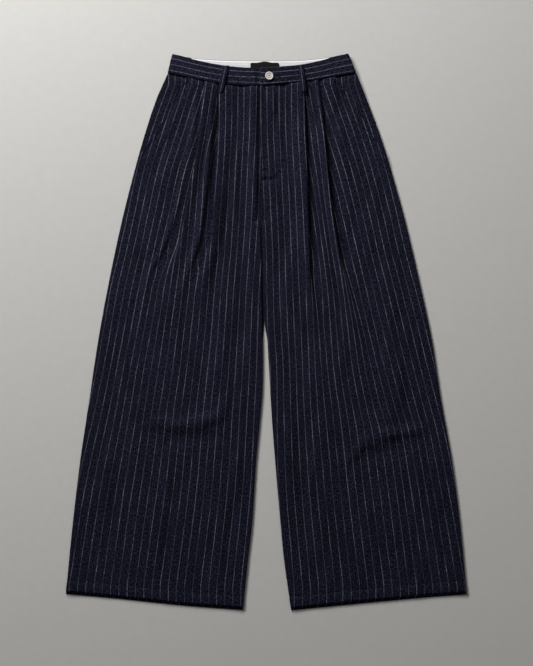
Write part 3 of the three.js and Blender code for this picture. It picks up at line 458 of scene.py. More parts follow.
def ramp(value, zero, one):
    """A soft step from 0 at one value to 1 at the other."""
    t = np.clip((value - zero) / (one - zero), 0, 1)
    return t * t * (3 - 2 * t)


def read(rows, key, at, column):
    """Reads a column of a table at places between its rows, on a smooth curve."""
    order = np.argsort(rows[key])
    keys = rows[key][order]
    values = rows[column][order]
    at = np.asarray(at, float)
    last = len(keys) - 1
    i = np.clip(np.searchsorted(keys, at) - 1, 0, last - 1)
    before = np.maximum(i - 1, 0)
    after = np.minimum(i + 2, last)
    span = keys[i + 1] - keys[i]
    t = np.clip((at - keys[i]) / span, 0, 1)
    slope_a = (values[i + 1] - values[before]) / (keys[i + 1] - keys[before]) * span
    slope_b = (values[after] - values[i]) / (keys[after] - keys[i]) * span
    t2 = t * t
    t3 = t2 * t
    return (
        (2 * t3 - 3 * t2 + 1) * values[i] + (t3 - 2 * t2 + t) * slope_a
        + (3 * t2 - 2 * t3) * values[i + 1] + (t3 - t2) * slope_b
    )


def bell(distance, width):
    """1 on the line of a crease and 0 one width away."""
    t = np.clip(np.abs(distance) / width, 0, 1)
    return (1 - t * t) ** 2


def ridge(distance, height, width):
    """Height beside the line of a ridge, or depth beside that of a groove."""
    return height * bell(distance, width)


def crease_height(side, a, y):
    height = 0 * (a + y)
    for a0, y0, a1, y1, rise, width in zip(*CREASES[side].values()):
        length = math.hypot(a1 - a0, y1 - y0)
        along_a = (a1 - a0) / length
        along_y = (y1 - y0) / length
        t = (a - a0) * along_a + (y - y0) * along_y
        across = (a - a0) * along_y - (y - y0) * along_a
        ends = ramp(t, -width, width) * ramp(t, length + width, length - width)
        height = height + rise * ends * bell(across, width)
    return height


def unevenness(a, y):
    """Low uneven swells, longer down the leg than across it, that pressed cloth keeps."""
    height = 0 * (a + y)
    for across, along, turn, rise in zip(*WAVES.values()):
        drift = np.sin(2 * math.pi * y / along + turn)
        height = height + rise * np.sin(2 * math.pi * a / across + turn + WAVE_DRIFT * drift)
    return height


def outer_edge(side, y):
    return read(OUTER_EDGE[side], "y", y, "a")


def inner_edge(side, y):
    return read(INNER_EDGE[side], "y", y, "a")


def pocket_mouth(side, y):
    return read(POCKET_MOUTH[side], "y", y, "a")


def band_seam_front(x):
    return read(BAND_SEAM_FRONT, "x", x, "y")


def band_top_front(x):
    return read(BAND_TOP_FRONT, "x", x, "y")


def band_top_back(x):
    return read(BAND_TOP_BACK, "x", x, "y")


def band_seam_back(x):
    right = BAND_TOP_FRONT["x"][0]
    left = BAND_TOP_FRONT["x"][-1]
    sideways = np.maximum(
        ramp(x, right + BAND_SIDE_BLEND, right), ramp(x, left - BAND_SIDE_BLEND, left)
    )
    return lerp(band_top_back(x) - BAND_HEIGHT, band_seam_front(x), sideways)


def seam_y(side, a):
    return band_seam_front(CENTRE_X + SIGN[side] * a) - SEAM_GAP


def back_seam_y(side, a):
    return band_seam_back(CENTRE_X + SIGN[side] * a) - SEAM_GAP


def hem_y(side, a):
    return read(FRONT_HEM[side], "a", a, "y")


def back_hem_y(side, a):
    return hem_y(side, a) - BACK_HEM_DROP


FRONT_ENDS = (seam_y, hem_y)
BACK_ENDS = (back_seam_y, back_hem_y)


def bent_y(side, a, y, ends):
    """Level rows bend to the waistband seam at the top and to the hem below."""
    seam, hem = ends
    near_seam = ramp(y, TOP_Y - SEAM_BEND, TOP_Y)
    near_hem = ramp(y, BOTTOM_Y + HEM_BEND, BOTTOM_Y)
    return y + near_seam * (seam(side, a) - TOP_Y) + near_hem * (hem(side, a) - BOTTOM_Y)


def near_waist(side, a, y):
    return ramp(y, seam_y(side, a) - SEAM_RISE, seam_y(side, a))


def back_z(side, a, y):
    seam = back_seam_y(side, a)
    return lerp(BACK_Z, BACK_SEAM_Z, ramp(y, seam - BACK_SEAM_RISE, seam))


def fly_raise(side, a, y):
    """The left front is lifted over the right one, which is pressed down beside its edge."""
    if side == "right":
        swell = ridge(a - FLY_SWELL_A, *FLY_SWELL)
        hollow = ridge(a - FLY_HOLLOW_A, *FLY_HOLLOW)
        return (swell - hollow) * ramp(y, *FLY_SWELL_Y)
    wider = FLY_RAISE_WIDER * near_waist(side, a, y)
    rise = ramp(a, FLY_RAISE_WIDTH + wider, FLY_UNDERLAP + wider)
    return (LAP + ridge(a, *FLY_EDGE_ROLL)) * rise * ramp(y, *FLY_RAISE_Y)


def pucker(along, pitch, drift):
    """Uneven puckers along a row of stitches."""
    return np.sin(2 * math.pi * along / pitch + np.sin(along / drift))


def fly_groove(side, a, y):
    """The shallow puckered dip along the curved row of stitches beside the fly."""
    if side == "right":
        return 0 * (a + y)
    path = np.array(FLY_LINE)
    nearest = np.full(np.shape(a + y), np.inf)
    along = np.zeros(np.shape(nearest))
    before = 0
    for start, end in zip(path[:-1], path[1:]):
        step = end - start
        length = math.hypot(*step)
        t = np.clip(((a - start[0]) * step[0] + (y - start[1]) * step[1]) / length ** 2, 0, 1)
        away = np.hypot(a - start[0] - t * step[0], y - start[1] - t * step[1])
        along = np.where(away < nearest, before + t * length, along)
        nearest = np.minimum(nearest, away)
        before += length
    puckered = 1 + FLY_PUCKER * pucker(along, FLY_PUCKER_PITCH, FLY_PUCKER_DRIFT)
    fainter = lerp(1, FLY_FAINTER, ramp(y, *FLY_FAINT_FROM))
    groove = ridge(nearest, *FLY_GROOVE) * puckered * fainter
    for tack_a, tack_y, width in FLY_TACKS:
        within = bell((a - tack_a) / width, FLY_TACK_REACH)
        groove = groove + ridge(y - tack_y, *FLY_TACK_DIP) * within
    return -groove


def pocket_raise(side, a, y):
    inward = pocket_mouth(side, y) - a
    end = POCKET_END[side]
    roll = ridge(inward, *POCKET_ROLL)
    puckered = 1 + pucker(y, POCKET_PUCKER_PITCH, POCKET_PUCKER_DRIFT)
    dip = puckered * ridge(inward - POCKET_GROOVE_INSET, *POCKET_GROOVE[side])
    return (LAP * ramp(inward, *POCKET_RAISE) + roll - dip) * ramp(y, end - POCKET_FADE, end)


def pleat_shoulders(side, a, y):
    """The cloth swells up again beyond the hollow beside each pleat."""
    height = 0 * (a + y)
    for index, (width, rise) in enumerate(SHOULDERS[side]):
        pleat = pleat_at(side, index, y)
        end = pleat["fold"] + pleat["valley"]
        share = read(SHOULDER_SHARE, "y", y, "share")
        height = height + rise * share * bell(a - end - width, width)
    return height


def front_z(side, a, y):
    """Height of the plain front cloth between the folds."""
    outer = outer_edge(side, y)
    inner = inner_edge(side, y)
    to_inside = ramp(a, inner + EDGE_SLOPE, inner) * (y < CROTCH_Y)
    edge = np.maximum(ramp(a, outer - EDGE_SLOPE, outer), to_inside)
    waist = near_waist(side, a, y)
    above_hem = y - hem_y(side, a)
    quiet = 1 - ramp(edge, *EDGE_QUIET)
    level = lerp(lerp(FRONT_Z, EDGE_Z, edge), SEAM_Z, waist)
    soft = CREASE_STRENGTH * crease_height(side, a, y) + unevenness(a, y)
    near_hem = ramp(above_hem, 2 * HEM_DEPTH, 0)
    calmer = lerp(1, CREASES_AT_WAIST, waist) * lerp(1, CREASES_AT_HEM, near_hem)
    creased = level + soft * quiet * calmer
    hem_groove = ridge(above_hem - HEM_DEPTH, *HEM_GROOVE)
    seam_groove = ridge(y - seam_y(side, a), *SEAM_GROOVE)
    under_overlap = (side == "left") * ramp(a, FLY_RAISE_WIDTH + FLY_RAISE_WIDER, FLY_RAISE_WIDTH)
    sewn = fly_groove(side, a, y) - hem_groove - seam_groove * (1 - under_overlap)
    raised = fly_raise(side, a, y) + pocket_raise(side, a, y) + pleat_shoulders(side, a, y) * quiet
    shaped = np.maximum(creased, FRONT_LOWEST_Z) + raised + sewn
    return np.maximum(shaped, BACK_Z + LAYER)


def rolled_edge(side, edge, outward, level_z, above, y, t):
    """Half of the roll of cloth that joins front and back: 0 flat, 1 at the seam."""
    turn = t * math.pi / 2
    a = edge - outward * (CLOTH / 2 + EDGE_RADIUS * (1 - math.sin(turn)))
    seam_z = lerp(EDGE_SEAM_Z, EDGE_SEAM_WAIST_Z, near_waist(side, edge, y))
    return a, lerp(seam_z + above * EDGE_SEAM_GAP / 2, level_z, math.cos(turn))


def pleat_at(side, index, y):
    rows = PLEATS[side][index]
    pleat = {name: read(rows, "y", y, name) for name in PLEAT_COLUMNS.split()[1:]}
    pleat["open"] = np.clip(pleat["open"], 0, 1)
    pleat["approach"] = lerp(PLEAT_APPROACH[index], OPEN_APPROACH, pleat["open"])
    return pleat


def pleat_points(side, index, y):
    """Ten points across a pleat, from a flat fold to one soft ridge."""
    pleat = pleat_at(side, index, y)
    fold = pleat["fold"]
    back = fold - pleat["under"]
    height = pleat["height"]
    start = fold - pleat["approach"]
    end = fold + pleat["valley"]
    start_z = front_z(side, start, y)
    end_z = front_z(side, end, y)
    low = np.maximum((start_z + end_z) / 2 - PLEAT_SINK, BACK_Z + LAYER)
    roll = height / 4
    middle = low + height / 2
    folded = [
        (start, start_z),
        ((start + fold) / 2, lerp(start_z, low + height, PLEAT_SWELL)),
        (fold - roll, low + height),
        (fold, low + height - roll),
        (fold - roll, middle),
        (back + roll, middle),
        (back, low + roll),
        (back + roll, low),
        (fold + PLEAT_FOOT, low),
        (end, end_z),
    ]
    points = []
    for i, (a, z) in enumerate(folded):
        t = i / (len(folded) - 1)
        open_z = lerp(start_z, end_z, t) + OPEN_RIDGE[i] * pleat["ridge"]
        points.append((lerp(a, lerp(start, end, t), pleat["open"]), lerp(z, open_z, pleat["open"])))
    return points


def on_curve(points, s):
    """A place on the smooth curve through a list of points, s counting the points."""
    i = min(int(s), len(points) - 2)
    t = s - i
    p0, p1, p2, p3 = (
        np.array(points[min(max(k, 0), len(points) - 1)]) for k in (i - 1, i, i + 1, i + 2)
    )
    return 0.5 * (
        2 * p1 + (p2 - p0) * t + (2 * p0 - 5 * p1 + 4 * p2 - p3) * t ** 2
        + (3 * p1 - p0 - 3 * p2 + p3) * t ** 3
    )


def stripe_number(side, stretch, a, y):
    number, rows = STRIPES[side][stretch]
    return number + (a - read(rows, "y", y, "a")) / read(rows, "y", y, "pitch")


def legged(y):
    """0 above the crotch, where the panels meet at the centre seam, and 1 in the legs."""
    return 1 - ramp(y, CROTCH_Y - CROTCH_BLEND, CROTCH_Y + CROTCH_BLEND)


def inside(stretch, count):
    """Columns within a stretch, whose two ends belong to the columns beside it."""
    return [(stretch, (i + 1) / (count + 1)) for i in range(count)]


def across_pleat(stretch):
    return [(stretch, (len(OPEN_RIDGE) - 1) / PLEAT_STEPS * i) for i in range(PLEAT_STEPS + 1)]


# The columns of each panel, from the centre to the side: which stretch, and where in it
OUTER = [("outer", i / EDGE_COLUMNS) for i in range(EDGE_COLUMNS + 1)]
INNER = [("inner", t) for _, t in reversed(OUTER)]
FRONT_COLUMNS = (
    INNER + inside("centre", CENTRE_COLUMNS) + across_pleat("first pleat")
    + inside("between", BETWEEN_COLUMNS) + across_pleat("second pleat")
    + inside("side", SIDE_COLUMNS) + OUTER
)
BACK_PANEL_COLUMNS = INNER + inside("plain", BACK_COLUMNS) + OUTER
FACING_COLUMNS = [("plain", 0)] + inside("plain", SIDE_COLUMNS - 1) + OUTER


def front_point(side, stretch, t, y):
    """Distance, height and stripe number of the cloth in one column at heights y."""
    inner = inner_edge(side, y)
    outer = outer_edge(side, y)
    mouth = pocket_mouth(side, y)
    opened = ramp(y, *(POCKET_END[side] + end for end in POCKET_OPENS))
    legs = legged(y)
    taper = ramp(y, FLY_END_Y, FLY_END_Y + FLY_UNDERLAP_TAPER)
    centre = SEAM_GAP / 2 - (side == "right") * FLY_UNDERLAP * taper
    flat_start = centre + EDGE_RADIUS + CLOTH
    inner_level = lerp(flat_start, inner + EDGE_ROOM, legs)
    outer_level = lerp(outer - EDGE_ROOM, mouth - EDGE_RADIUS, opened)
    if stretch == "inner":
        level_z = front_z(side, inner_level, y)
        roll_a, roll_z = rolled_edge(side, inner, -1, level_z, 1, y, t)
        flat = lerp(flat_start, centre, t)
        a = lerp(flat, roll_a, legs)
        return a, lerp(front_z(side, flat, y), roll_z, legs), stripe_number(side, "centre", a, y)
    if stretch == "outer":
        level_z = front_z(side, outer_level, y)
        roll_a, roll_z = rolled_edge(side, outer, 1, level_z, 1, y, t)
        flat = lerp(mouth - EDGE_RADIUS, mouth, t)
        a = lerp(roll_a, flat, opened)
        return a, lerp(roll_z, front_z(side, flat, y), opened), stripe_number(side, "side", a, y)
    if stretch in PLEAT_STRETCHES:
        index, before, after = PLEAT_STRETCHES[stretch]
        points = pleat_points(side, index, y)
        a, z = on_curve(points, t)
        before_number = lambda at: stripe_number(side, before, at, y)
        after_number = lambda at: stripe_number(side, after, at, y)
        hidden = np.clip((t - FOLD_POINT) / (EXIT_POINT - FOLD_POINT), 0, 1)
        entry = before_number(points[FOLD_POINT][0])
        number = lerp(entry, after_number(points[EXIT_POINT][0]), hidden)
        if t < FOLD_POINT:
            number = before_number(a)
        if t > EXIT_POINT:
            number = after_number(a)
        ends = before_number(points[0][0]), after_number(points[-1][0])
        spread = lerp(*ends, t / (len(points) - 1))
        return a, z, lerp(number, spread, pleat_at(side, index, y)["open"])
    first = pleat_at(side, 0, y)
    second = pleat_at(side, 1, y)
    ends = {
        "centre": (inner_level, first["fold"] - first["approach"]),
        "between": (first["fold"] + first["valley"], second["fold"] - second["approach"]),
        "side": (second["fold"] + second["valley"], outer_level),
    }
    a = lerp(*ends[stretch], t)
    return a, front_z(side, a, y), stripe_number(side, stretch, a, y)


def back_inner_edge(side, y):
    """Just below the crotch the back panels still touch, under the gap between the fronts."""
    middle = SIGN[side] * (inner_edge("left", y) - inner_edge("right", y)) / 2
    return lerp(inner_edge(side, y), middle + SEAM_GAP / 2, ramp(y, *BACKS_PART))


def back_point(side, stretch, t, y):
    inner = back_inner_edge(side, y)
    outer = outer_edge(side, y)
    centre = SEAM_GAP / 2
    flat_start = centre + EDGE_RADIUS + CLOTH
    legs = legged(y)
    inner_level = lerp(flat_start, inner + EDGE_ROOM, legs)
    outer_level = outer - EDGE_ROOM
    if stretch == "inner":
        touching = ramp(y, *BACKS_PART)
        level_z = back_z(side, inner_level, y)
        roll_a, roll_z = rolled_edge(side, inner, -1, level_z, -1, y, t)
        roll_a = lerp(roll_a, lerp(inner_level, inner, t), touching)
        flat = lerp(flat_start, centre, t)
        a = lerp(flat, roll_a, legs)
        z = lerp(back_z(side, flat, y), lerp(roll_z, BACK_Z, touching), legs)
    elif stretch == "outer":
        a, z = rolled_edge(side, outer, 1, back_z(side, outer_level, y), -1, y, t)
    else:
        a = lerp(inner_level, outer_level, t)
        z = back_z(side, a, y)
    return a, z, a / PLAIN_PITCH


def facing_point(side, stretch, t, y):
    outer = outer_edge(side, y)
    outer_level = outer - EDGE_ROOM
    plain_z = lambda a: front_z(side, a, y) - np.maximum(pocket_raise(side, a, y), 0)
    if stretch == "outer":
        a, z = rolled_edge(side, outer, 1, plain_z(outer_level), 1, y, t)
    else:
        a = lerp(pocket_mouth(side, y) - POCKET_UNDERLAP, outer_level, t)
        z = plain_z(a)
    return a, z, stripe_number(side, "side", a, y) + FACING_SHIFT[side]


def panel_grid(side, columns, point, levels, ends):
    """Points of a panel, rows by columns, each row bent to the seam above or the hem below."""
    places = np.zeros((len(levels), len(columns), 3))
    cloth = np.zeros((len(levels), len(columns), 2))
    for c, (stretch, t) in enumerate(columns):
        y = levels
        for _ in range(LANDING_STEPS):
            a = point(side, stretch, t, y)[0]
            y = bent_y(side, a, levels, ends)
        a, z, number = point(side, stretch, t, y)
        places[:, c] = np.stack([CENTRE_X + SIGN[side] * a, y, z], axis=1)
        cloth[:, c] = np.stack([number, y], axis=1)
    return places, cloth


def wall_thickness(side, places, ends):
    """The hem is turned up twice, so it is thicker there."""
    above = places[:, :, 1] - ends[1](side, (places[:, :, 0] - CENTRE_X) * SIGN[side])
    return lerp(HEM_SHELL, SHELL, ramp(above, HEM_DEPTH - HEM_STEP, HEM_DEPTH))


def stripe_pitch(places, number):
    """Distance between stripes at each point, so that a stripe keeps its width in a fold."""
    across = np.linalg.norm(np.gradient(places, axis=1), axis=2)
    down = np.linalg.norm(np.gradient(places, axis=0), axis=2)
    rate = np.hypot(np.gradient(number, axis=1) / across, np.gradient(number, axis=0) / down)
    return 1 / np.maximum(rate, 1 / WIDEST_PITCH)


def grid(*parts):
    """A grid of points, from parts that vary along its rows, its columns, or both."""
    return np.stack(np.broadcast_arrays(*parts), axis=2)


def placed(name, data):
    made = bpy.data.objects.new(name, data)
    bpy.context.scene.collection.objects.link(made)
    return made


def mesh_of(name, points, faces):
    mesh = bpy.data.meshes.new(name)
    mesh.from_pydata(points, [], faces)
    mesh.shade_smooth()
    return mesh


def add_piece(name, mesh, finish, stands_for=None):
    piece = placed(name, mesh)
    mesh.materials.append(finish)
    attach(piece, BODY)
    if stands_for:
        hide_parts(stands_for)
    return piece


def cloth_shell(name, places, cloth, thickness, finish, stands_for):
    """A closed thin shell round a grid of points in the middle of the cloth."""
    rows, columns = places.shape[:2]
    normal = np.cross(np.gradient(places, axis=1), np.gradient(places, axis=0))
    normal /= np.linalg.norm(normal, axis=2, keepdims=True)
    half = normal * np.broadcast_to(thickness, (rows, columns))[:, :, None] / 2
    points = np.concatenate([(places + half).reshape(-1, 3), (places - half).reshape(-1, 3)]) * MM
    top = np.arange(rows * columns).reshape(rows, columns)
    under = top + rows * columns
    quads = [
        (top[:-1, :-1], top[:-1, 1:], top[1:, 1:], top[1:, :-1]),
        (under[:-1, :-1], under[1:, :-1], under[1:, 1:], under[:-1, 1:]),
        (top[:-1, 0], top[1:, 0], under[1:, 0], under[:-1, 0]),
        (top[:-1, -1], under[:-1, -1], under[1:, -1], top[1:, -1]),
        (top[0, :-1], under[0, :-1], under[0, 1:], top[0, 1:]),
        (top[-1, :-1], top[-1, 1:], under[-1, 1:], under[-1, :-1]),
    ]
    faces = np.concatenate([np.stack(corners, axis=-1).reshape(-1, 4) for corners in quads])
    mesh = mesh_of(name, points.tolist(), faces.tolist())
    pattern = mesh.attributes.new("cloth", "FLOAT_VECTOR", "POINT")
    pitch = stripe_pitch(places, cloth[:, :, 0])
    values = np.concatenate([np.dstack([cloth, pitch]).reshape(-1, 3)] * 2)
    pattern.data.foreach_set("vector", values.astype(np.float32).ravel())
    return add_piece(name, mesh, finish, stands_for)


def rolled_strip(name, places, cloth, thickness, finish, stands_for):
    """A closed strip, thinner at its rim, so that it looks rolled."""
    share = np.ones(places.shape[:2])
    for i in (1, 0):
        share[[i, -1 - i], :] = RIM_SHARE[i]
        share[:, [i, -1 - i]] = np.minimum(share[:, [i, -1 - i]], RIM_SHARE[i])
    return cloth_shell(name, places, cloth, thickness * share, finish, stands_for)


def linear(hex_colour):
    """An sRGB hex colour as the linear colour that a shader takes."""
    channels = [int(hex_colour[i:i + 2], 16) / 255 for i in (1, 3, 5)]
    return [c / 12.92 if c <= 0.04045 else ((c + 0.055) / 1.055) ** 2.4 for c in channels] + [1]


def node(tree, kind, settings=None, links=None):
    """Adds one node, sets its properties and inputs, and links nodes or their outputs to it."""
    made = tree.nodes.new("ShaderNode" + kind)
    for key, value in (settings or {}).items():
        if isinstance(key, str) and hasattr(made, key):
            setattr(made, key, value)
        else:
            made.inputs[key].default_value = value
    for key, source in (links or {}).items():
        if isinstance(source, bpy.types.Node):
            source = source.outputs[0]
        tree.links.new(source, made.inputs[key])
    return made


def blank_material(name):
    material = bpy.data.materials.new(name)
    material.use_nodes = True
    material.node_tree.nodes.clear()
    return material, material.node_tree


# The ground of the twill: dark yarn, the colour between, and fibres that catch the light
GROUND_STOPS = ((0.38, "#05050d"), (0.51, "#171827"), (0.64, "#303144"))
STRIPE_DIM = "#2e2f3e"
STRIPE_PALE = "#86868f"
STRIPE_WIDTH = 1.05  # mm
STRIPE_EDGE = (0.7, 0.25)  # of the width, where the stripe begins and where it is full
NEP = 2.6  # mm: the flecks of the real yarns are 0.5 mm long, too fine to show
STITCH_OF_WEAVE = 3.7  # mm of stripe from one bright float of its yarn to the next
TWILL_SLANT = 0.6
THREAD_TURNS = 20  # the wave pattern's own scale for one turn, in radians


def pinstriped_twill(name, pitch, dimmest):
    """Worsted wool-blend twill, woven with single pale yarns that show as broken stripes.

    It gives the eye a nearly black navy ground, flecked where single fibres catch the light,
    with a matt nap, and stripes that are rows of small bright floats, never quite whole.
    """
    material, tree = blank_material(name)
    pattern = node(tree, "Attribute", {"attribute_name": "cloth"}).outputs["Vector"]
    number, along, spacing = node(tree, "SeparateXYZ", links={0: pattern}).outputs
    across = node(tree, "Math", {"operation": "MULTIPLY", 1: pitch}, {0: number})
    place = node(tree, "CombineXYZ", links={0: across, 1: along})
    slant = {"rotation_type": "Z_AXIS", "Angle": TWILL_SLANT}
    slanted = node(tree, "VectorRotate", slant, {"Vector": place})

    # Each unevenness of the cloth: on what it lies, its grains a millimetre across and along,
    # how detailed and how rough it is, which range of it counts, and what that is spread to
    uneven = {
        "wobble": (place, 0.05, 0.03, 2, 0.6, (0, 1), (-0.06, 0.06)),
        "floats": (place, 0.25, 1 / STITCH_OF_WEAVE, 2, 0.8, (0.36, 0.62), (0, 1)),
        "fading": (place, 0.07, 0.014, 3, 0.6, (0.4, 0.62), (dimmest, 1)),
        "flecks": (place, 1 / NEP, 0.6 / NEP, 3, 0.75, (0, 1), (0, 1)),
        "shade": (place, 0.016, 0.008, 3, 0.6, (0.3, 0.7), (0.82, 1.18)),
        "ribs": (slanted, 0.5, 0.26, 2, 0.6, (0, 1), (0, 1)),
    }
    for kind, (source, wide, long, detail, rough, counted, spread) in uneven.items():
        stretched = {"operation": "MULTIPLY", 1: (wide, long, 0)}
        scaled = node(tree, "VectorMath", stretched, {0: source})
        grain = {"Scale": 1, "Detail": detail, "Roughness": rough}
        noise = node(tree, "TexNoise", grain, {"Vector": scaled})
        limits = dict(zip(("From Min", "From Max", "To Min", "To Max"), counted + spread))
        uneven[kind] = node(tree, "MapRange", limits, {"Value": noise})

    # The stripe: millimetres from the nearest whole number, with a little wobble
    wobbled = node(tree, "Math", {"operation": "ADD"}, {0: number, 1: uneven["wobble"]})
    nearest = node(tree, "Math", {"operation": "PINGPONG", 1: 0.5}, {0: wobbled})
    distance = node(tree, "Math", {"operation": "MULTIPLY"}, {0: nearest, 1: spacing})
    edges = {"From Min": STRIPE_WIDTH * STRIPE_EDGE[0], "From Max": STRIPE_WIDTH * STRIPE_EDGE[1]}
    line = node(tree, "MapRange", edges, {"Value": distance})
    bright = node(
        tree, "Math", {"operation": "MULTIPLY"}, {0: uneven["floats"], 1: uneven["fading"]}
    )
    yarns = {"data_type": "RGBA", 6: linear(STRIPE_DIM), 7: linear(STRIPE_PALE)}
    yarn = node(tree, "Mix", yarns, {0: bright})

    # The ground: light and dark flecks, and slow changes of shade
    ground = node(tree, "ValToRGB", links={"Fac": uneven["flecks"]})
    ground.color_ramp.elements.new(0.5)
    for stop, (position, hex_colour) in zip(ground.color_ramp.elements, GROUND_STOPS):
        stop.position = position
        stop.color = linear(hex_colour)
    shaded = node(tree, "VectorMath", {"operation": "MULTIPLY"}, {0: ground, 1: uneven["shade"]})
    colour = node(tree, "Mix", {"data_type": "RGBA"}, {0: line, 6: shaded, 7: yarn.outputs[2]})

    # The weave: flecks that stand up, slanting as the twill does
    relief = node(tree, "Math", {"operation": "ADD"}, {0: uneven["ribs"], 1: uneven["flecks"]})
    bump = node(tree, "Bump", {"Strength": 0.7, "Distance": 0.6 * MM}, {"Height": relief})
    nap = {
        "Roughness": 0.9, "Specular IOR Level": 0.06, "IOR": 1.5,
        "Sheen Weight": 0.03, "Sheen Roughness": 0.4, "Sheen Tint": linear("#6a6c90"),
    }
    links = {"Base Color": colour.outputs[2], "Normal": bump}
    shader = node(tree, "BsdfPrincipled", nap, links)
    node(tree, "OutputMaterial", links={"Surface": shader})
    return material


def two_toned(name, tones, spots, surface, woven=False, origin=(0, 0, 0), waves=None, relief=(0, 0)):
    """Two close colours mixed by spots, on cloth by its threads too, and a fine relief."""
    material, tree = blank_material(name)
    if woven:
        place = node(tree, "Attribute", {"attribute_name": "cloth"}).outputs["Vector"]
    else:
        place = node(tree, "TexCoord").outputs["Object"]
    place = node(tree, "VectorMath", {"operation": "SUBTRACT", 1: origin}, {0: place})
    share = node(tree, "TexNoise", spots, {"Vector": place})
    links = {}
    if waves:
        lines = node(tree, "TexWave", waves, {"Vector": place}).outputs["Fac"]
        depth = {"Strength": relief[0], "Distance": relief[1] * MM}
        links["Normal"] = node(tree, "Bump", depth, {"Height": lines})
    if woven:
        share = node(tree, "Math", {"operation": "MULTIPLY"}, {0: lines, 1: share})
    mixed = {"data_type": "RGBA", 6: linear(tones[0]), 7: linear(tones[1])}
    links["Base Color"] = node(tree, "Mix", mixed, {0: share}).outputs[2]
    shader = node(tree, "BsdfPrincipled", surface, links)
    node(tree, "OutputMaterial", links={"Surface": shader})
    return material


def plain_woven(name, tones, thread, slub, depth, surface):
    """Plain cloth, its threads drawn coarser than the real ones, which are too fine to show."""
    waves = {
        "bands_direction": "Y", "Scale": 2 * math.pi / thread / THREAD_TURNS, "Distortion": slub,
    }
    spots = {"Scale": 0.3, "Detail": 3}
    return two_toned(name, tones, spots, surface, woven=True, waves=waves, relief=(0.4, depth))


def spun_thread(name, *tones):
    """Core-spun polyester sewing thread: slightly glossy, darker between its plies."""
    surface = {"Roughness": 0.6, "Specular IOR Level": 0.15, "IOR": 1.5}
    return two_toned(name, tones, {"Scale": 2500, "Detail": 2}, surface)


TWILL = pinstriped_twill("pinstriped_worsted_twill", PLAIN_PITCH, 0.12)
BAND_TWILL = pinstriped_twill("interlined_band_twill", BAND_PITCH, 0.5)
# Cotton poplin gives a clean matt white, faintly grey between its threads
WHITE_COTTON = plain_woven(
    "white_cotton_poplin", ("#e2e1e2", "#cacace"), 5.5, 0.6, 0.2,
    {"Roughness": 0.85, "Specular IOR Level": 0.3, "IOR": 1.5, "Sheen Weight": 0.05},
)
# Woven satin gives a smooth black with a weak sheen
BLACK_SATIN = plain_woven(
    "black_woven_satin", ("#141414", "#1d1d1e"), 1.2, 0.4, 0.1,
    {"Roughness": 0.6, "Specular IOR Level": 0.08, "IOR": 1.5},
)
NAVY_THREAD = spun_thread("navy_spun_thread", "#0d0d16", "#06060b")
GREY_THREAD = spun_thread("grey_spun_thread", "#3c3d50", "#262736")
WHITE_THREAD = spun_thread("white_spun_thread", "#dcdcdf", "#b4b4ba")
# Die-cast zinc, plated and brushed, gives a pale warm grey with fine turned rings
ZINC = two_toned(
    "plated_cast_zinc", ("#e2dfda", "#c2beb8"), {"Scale": 700, "Detail": 3},
    {"Metallic": 0.3, "Roughness": 0.6}, origin=(BUTTON["x"] * MM, BUTTON["y"] * MM, 0),
    waves={"wave_type": "RINGS", "rings_direction": "Z", "Scale": 900, "Distortion": 0.6},
    relief=(0.15, 0.1),
)
# Studio paper gives a matt floor, pale and almost even
PAPER = two_toned(
    "studio_paper", ("#d4d2ce", "#cdcbc7"), {"Scale": 60, "Detail": 4},
    {"Roughness": 0.95, "Specular IOR Level": 0.2},
)


# Each kind of panel: what it stands for, its columns and points, what bends its ends, the
# step between its rows
PANELS = {
    "front": ("front", FRONT_COLUMNS, front_point, FRONT_ENDS, ROW_STEP),
    "back": ("back", BACK_PANEL_COLUMNS, back_point, BACK_ENDS, BACK_ROW_STEP),
    "facing": ("pocket_facing", FACING_COLUMNS, facing_point, FRONT_ENDS, ROW_STEP),
}


def make_panel(kind, side):
    stands_for, columns, point, ends, step = PANELS[kind]
    bottom = POCKET_END[side] + FACING_END if kind == "facing" else BOTTOM_Y
    levels = np.linspace(TOP_Y, bottom, round((TOP_Y - bottom) / step) + 1)
    places, cloth = panel_grid(side, columns, point, levels, ends)
    thickness = SHELL if kind == "back" else wall_thickness(side, places, ends)
    return cloth_shell(
        f"{kind}_cloth_{side}", places, cloth, thickness, TWILL,
        f"{stands_for}_{side}",
    )


def band_under_z(x):
    """The right end of the waistband swells and then dips just before the left end lies on it."""
    away = BAND_DIP_X - x
    swell = ridge(away - BAND_SWELL[1], *BAND_SWELL)
    return BAND_FRONT_Z + swell - ridge(away, *BAND_DIP)


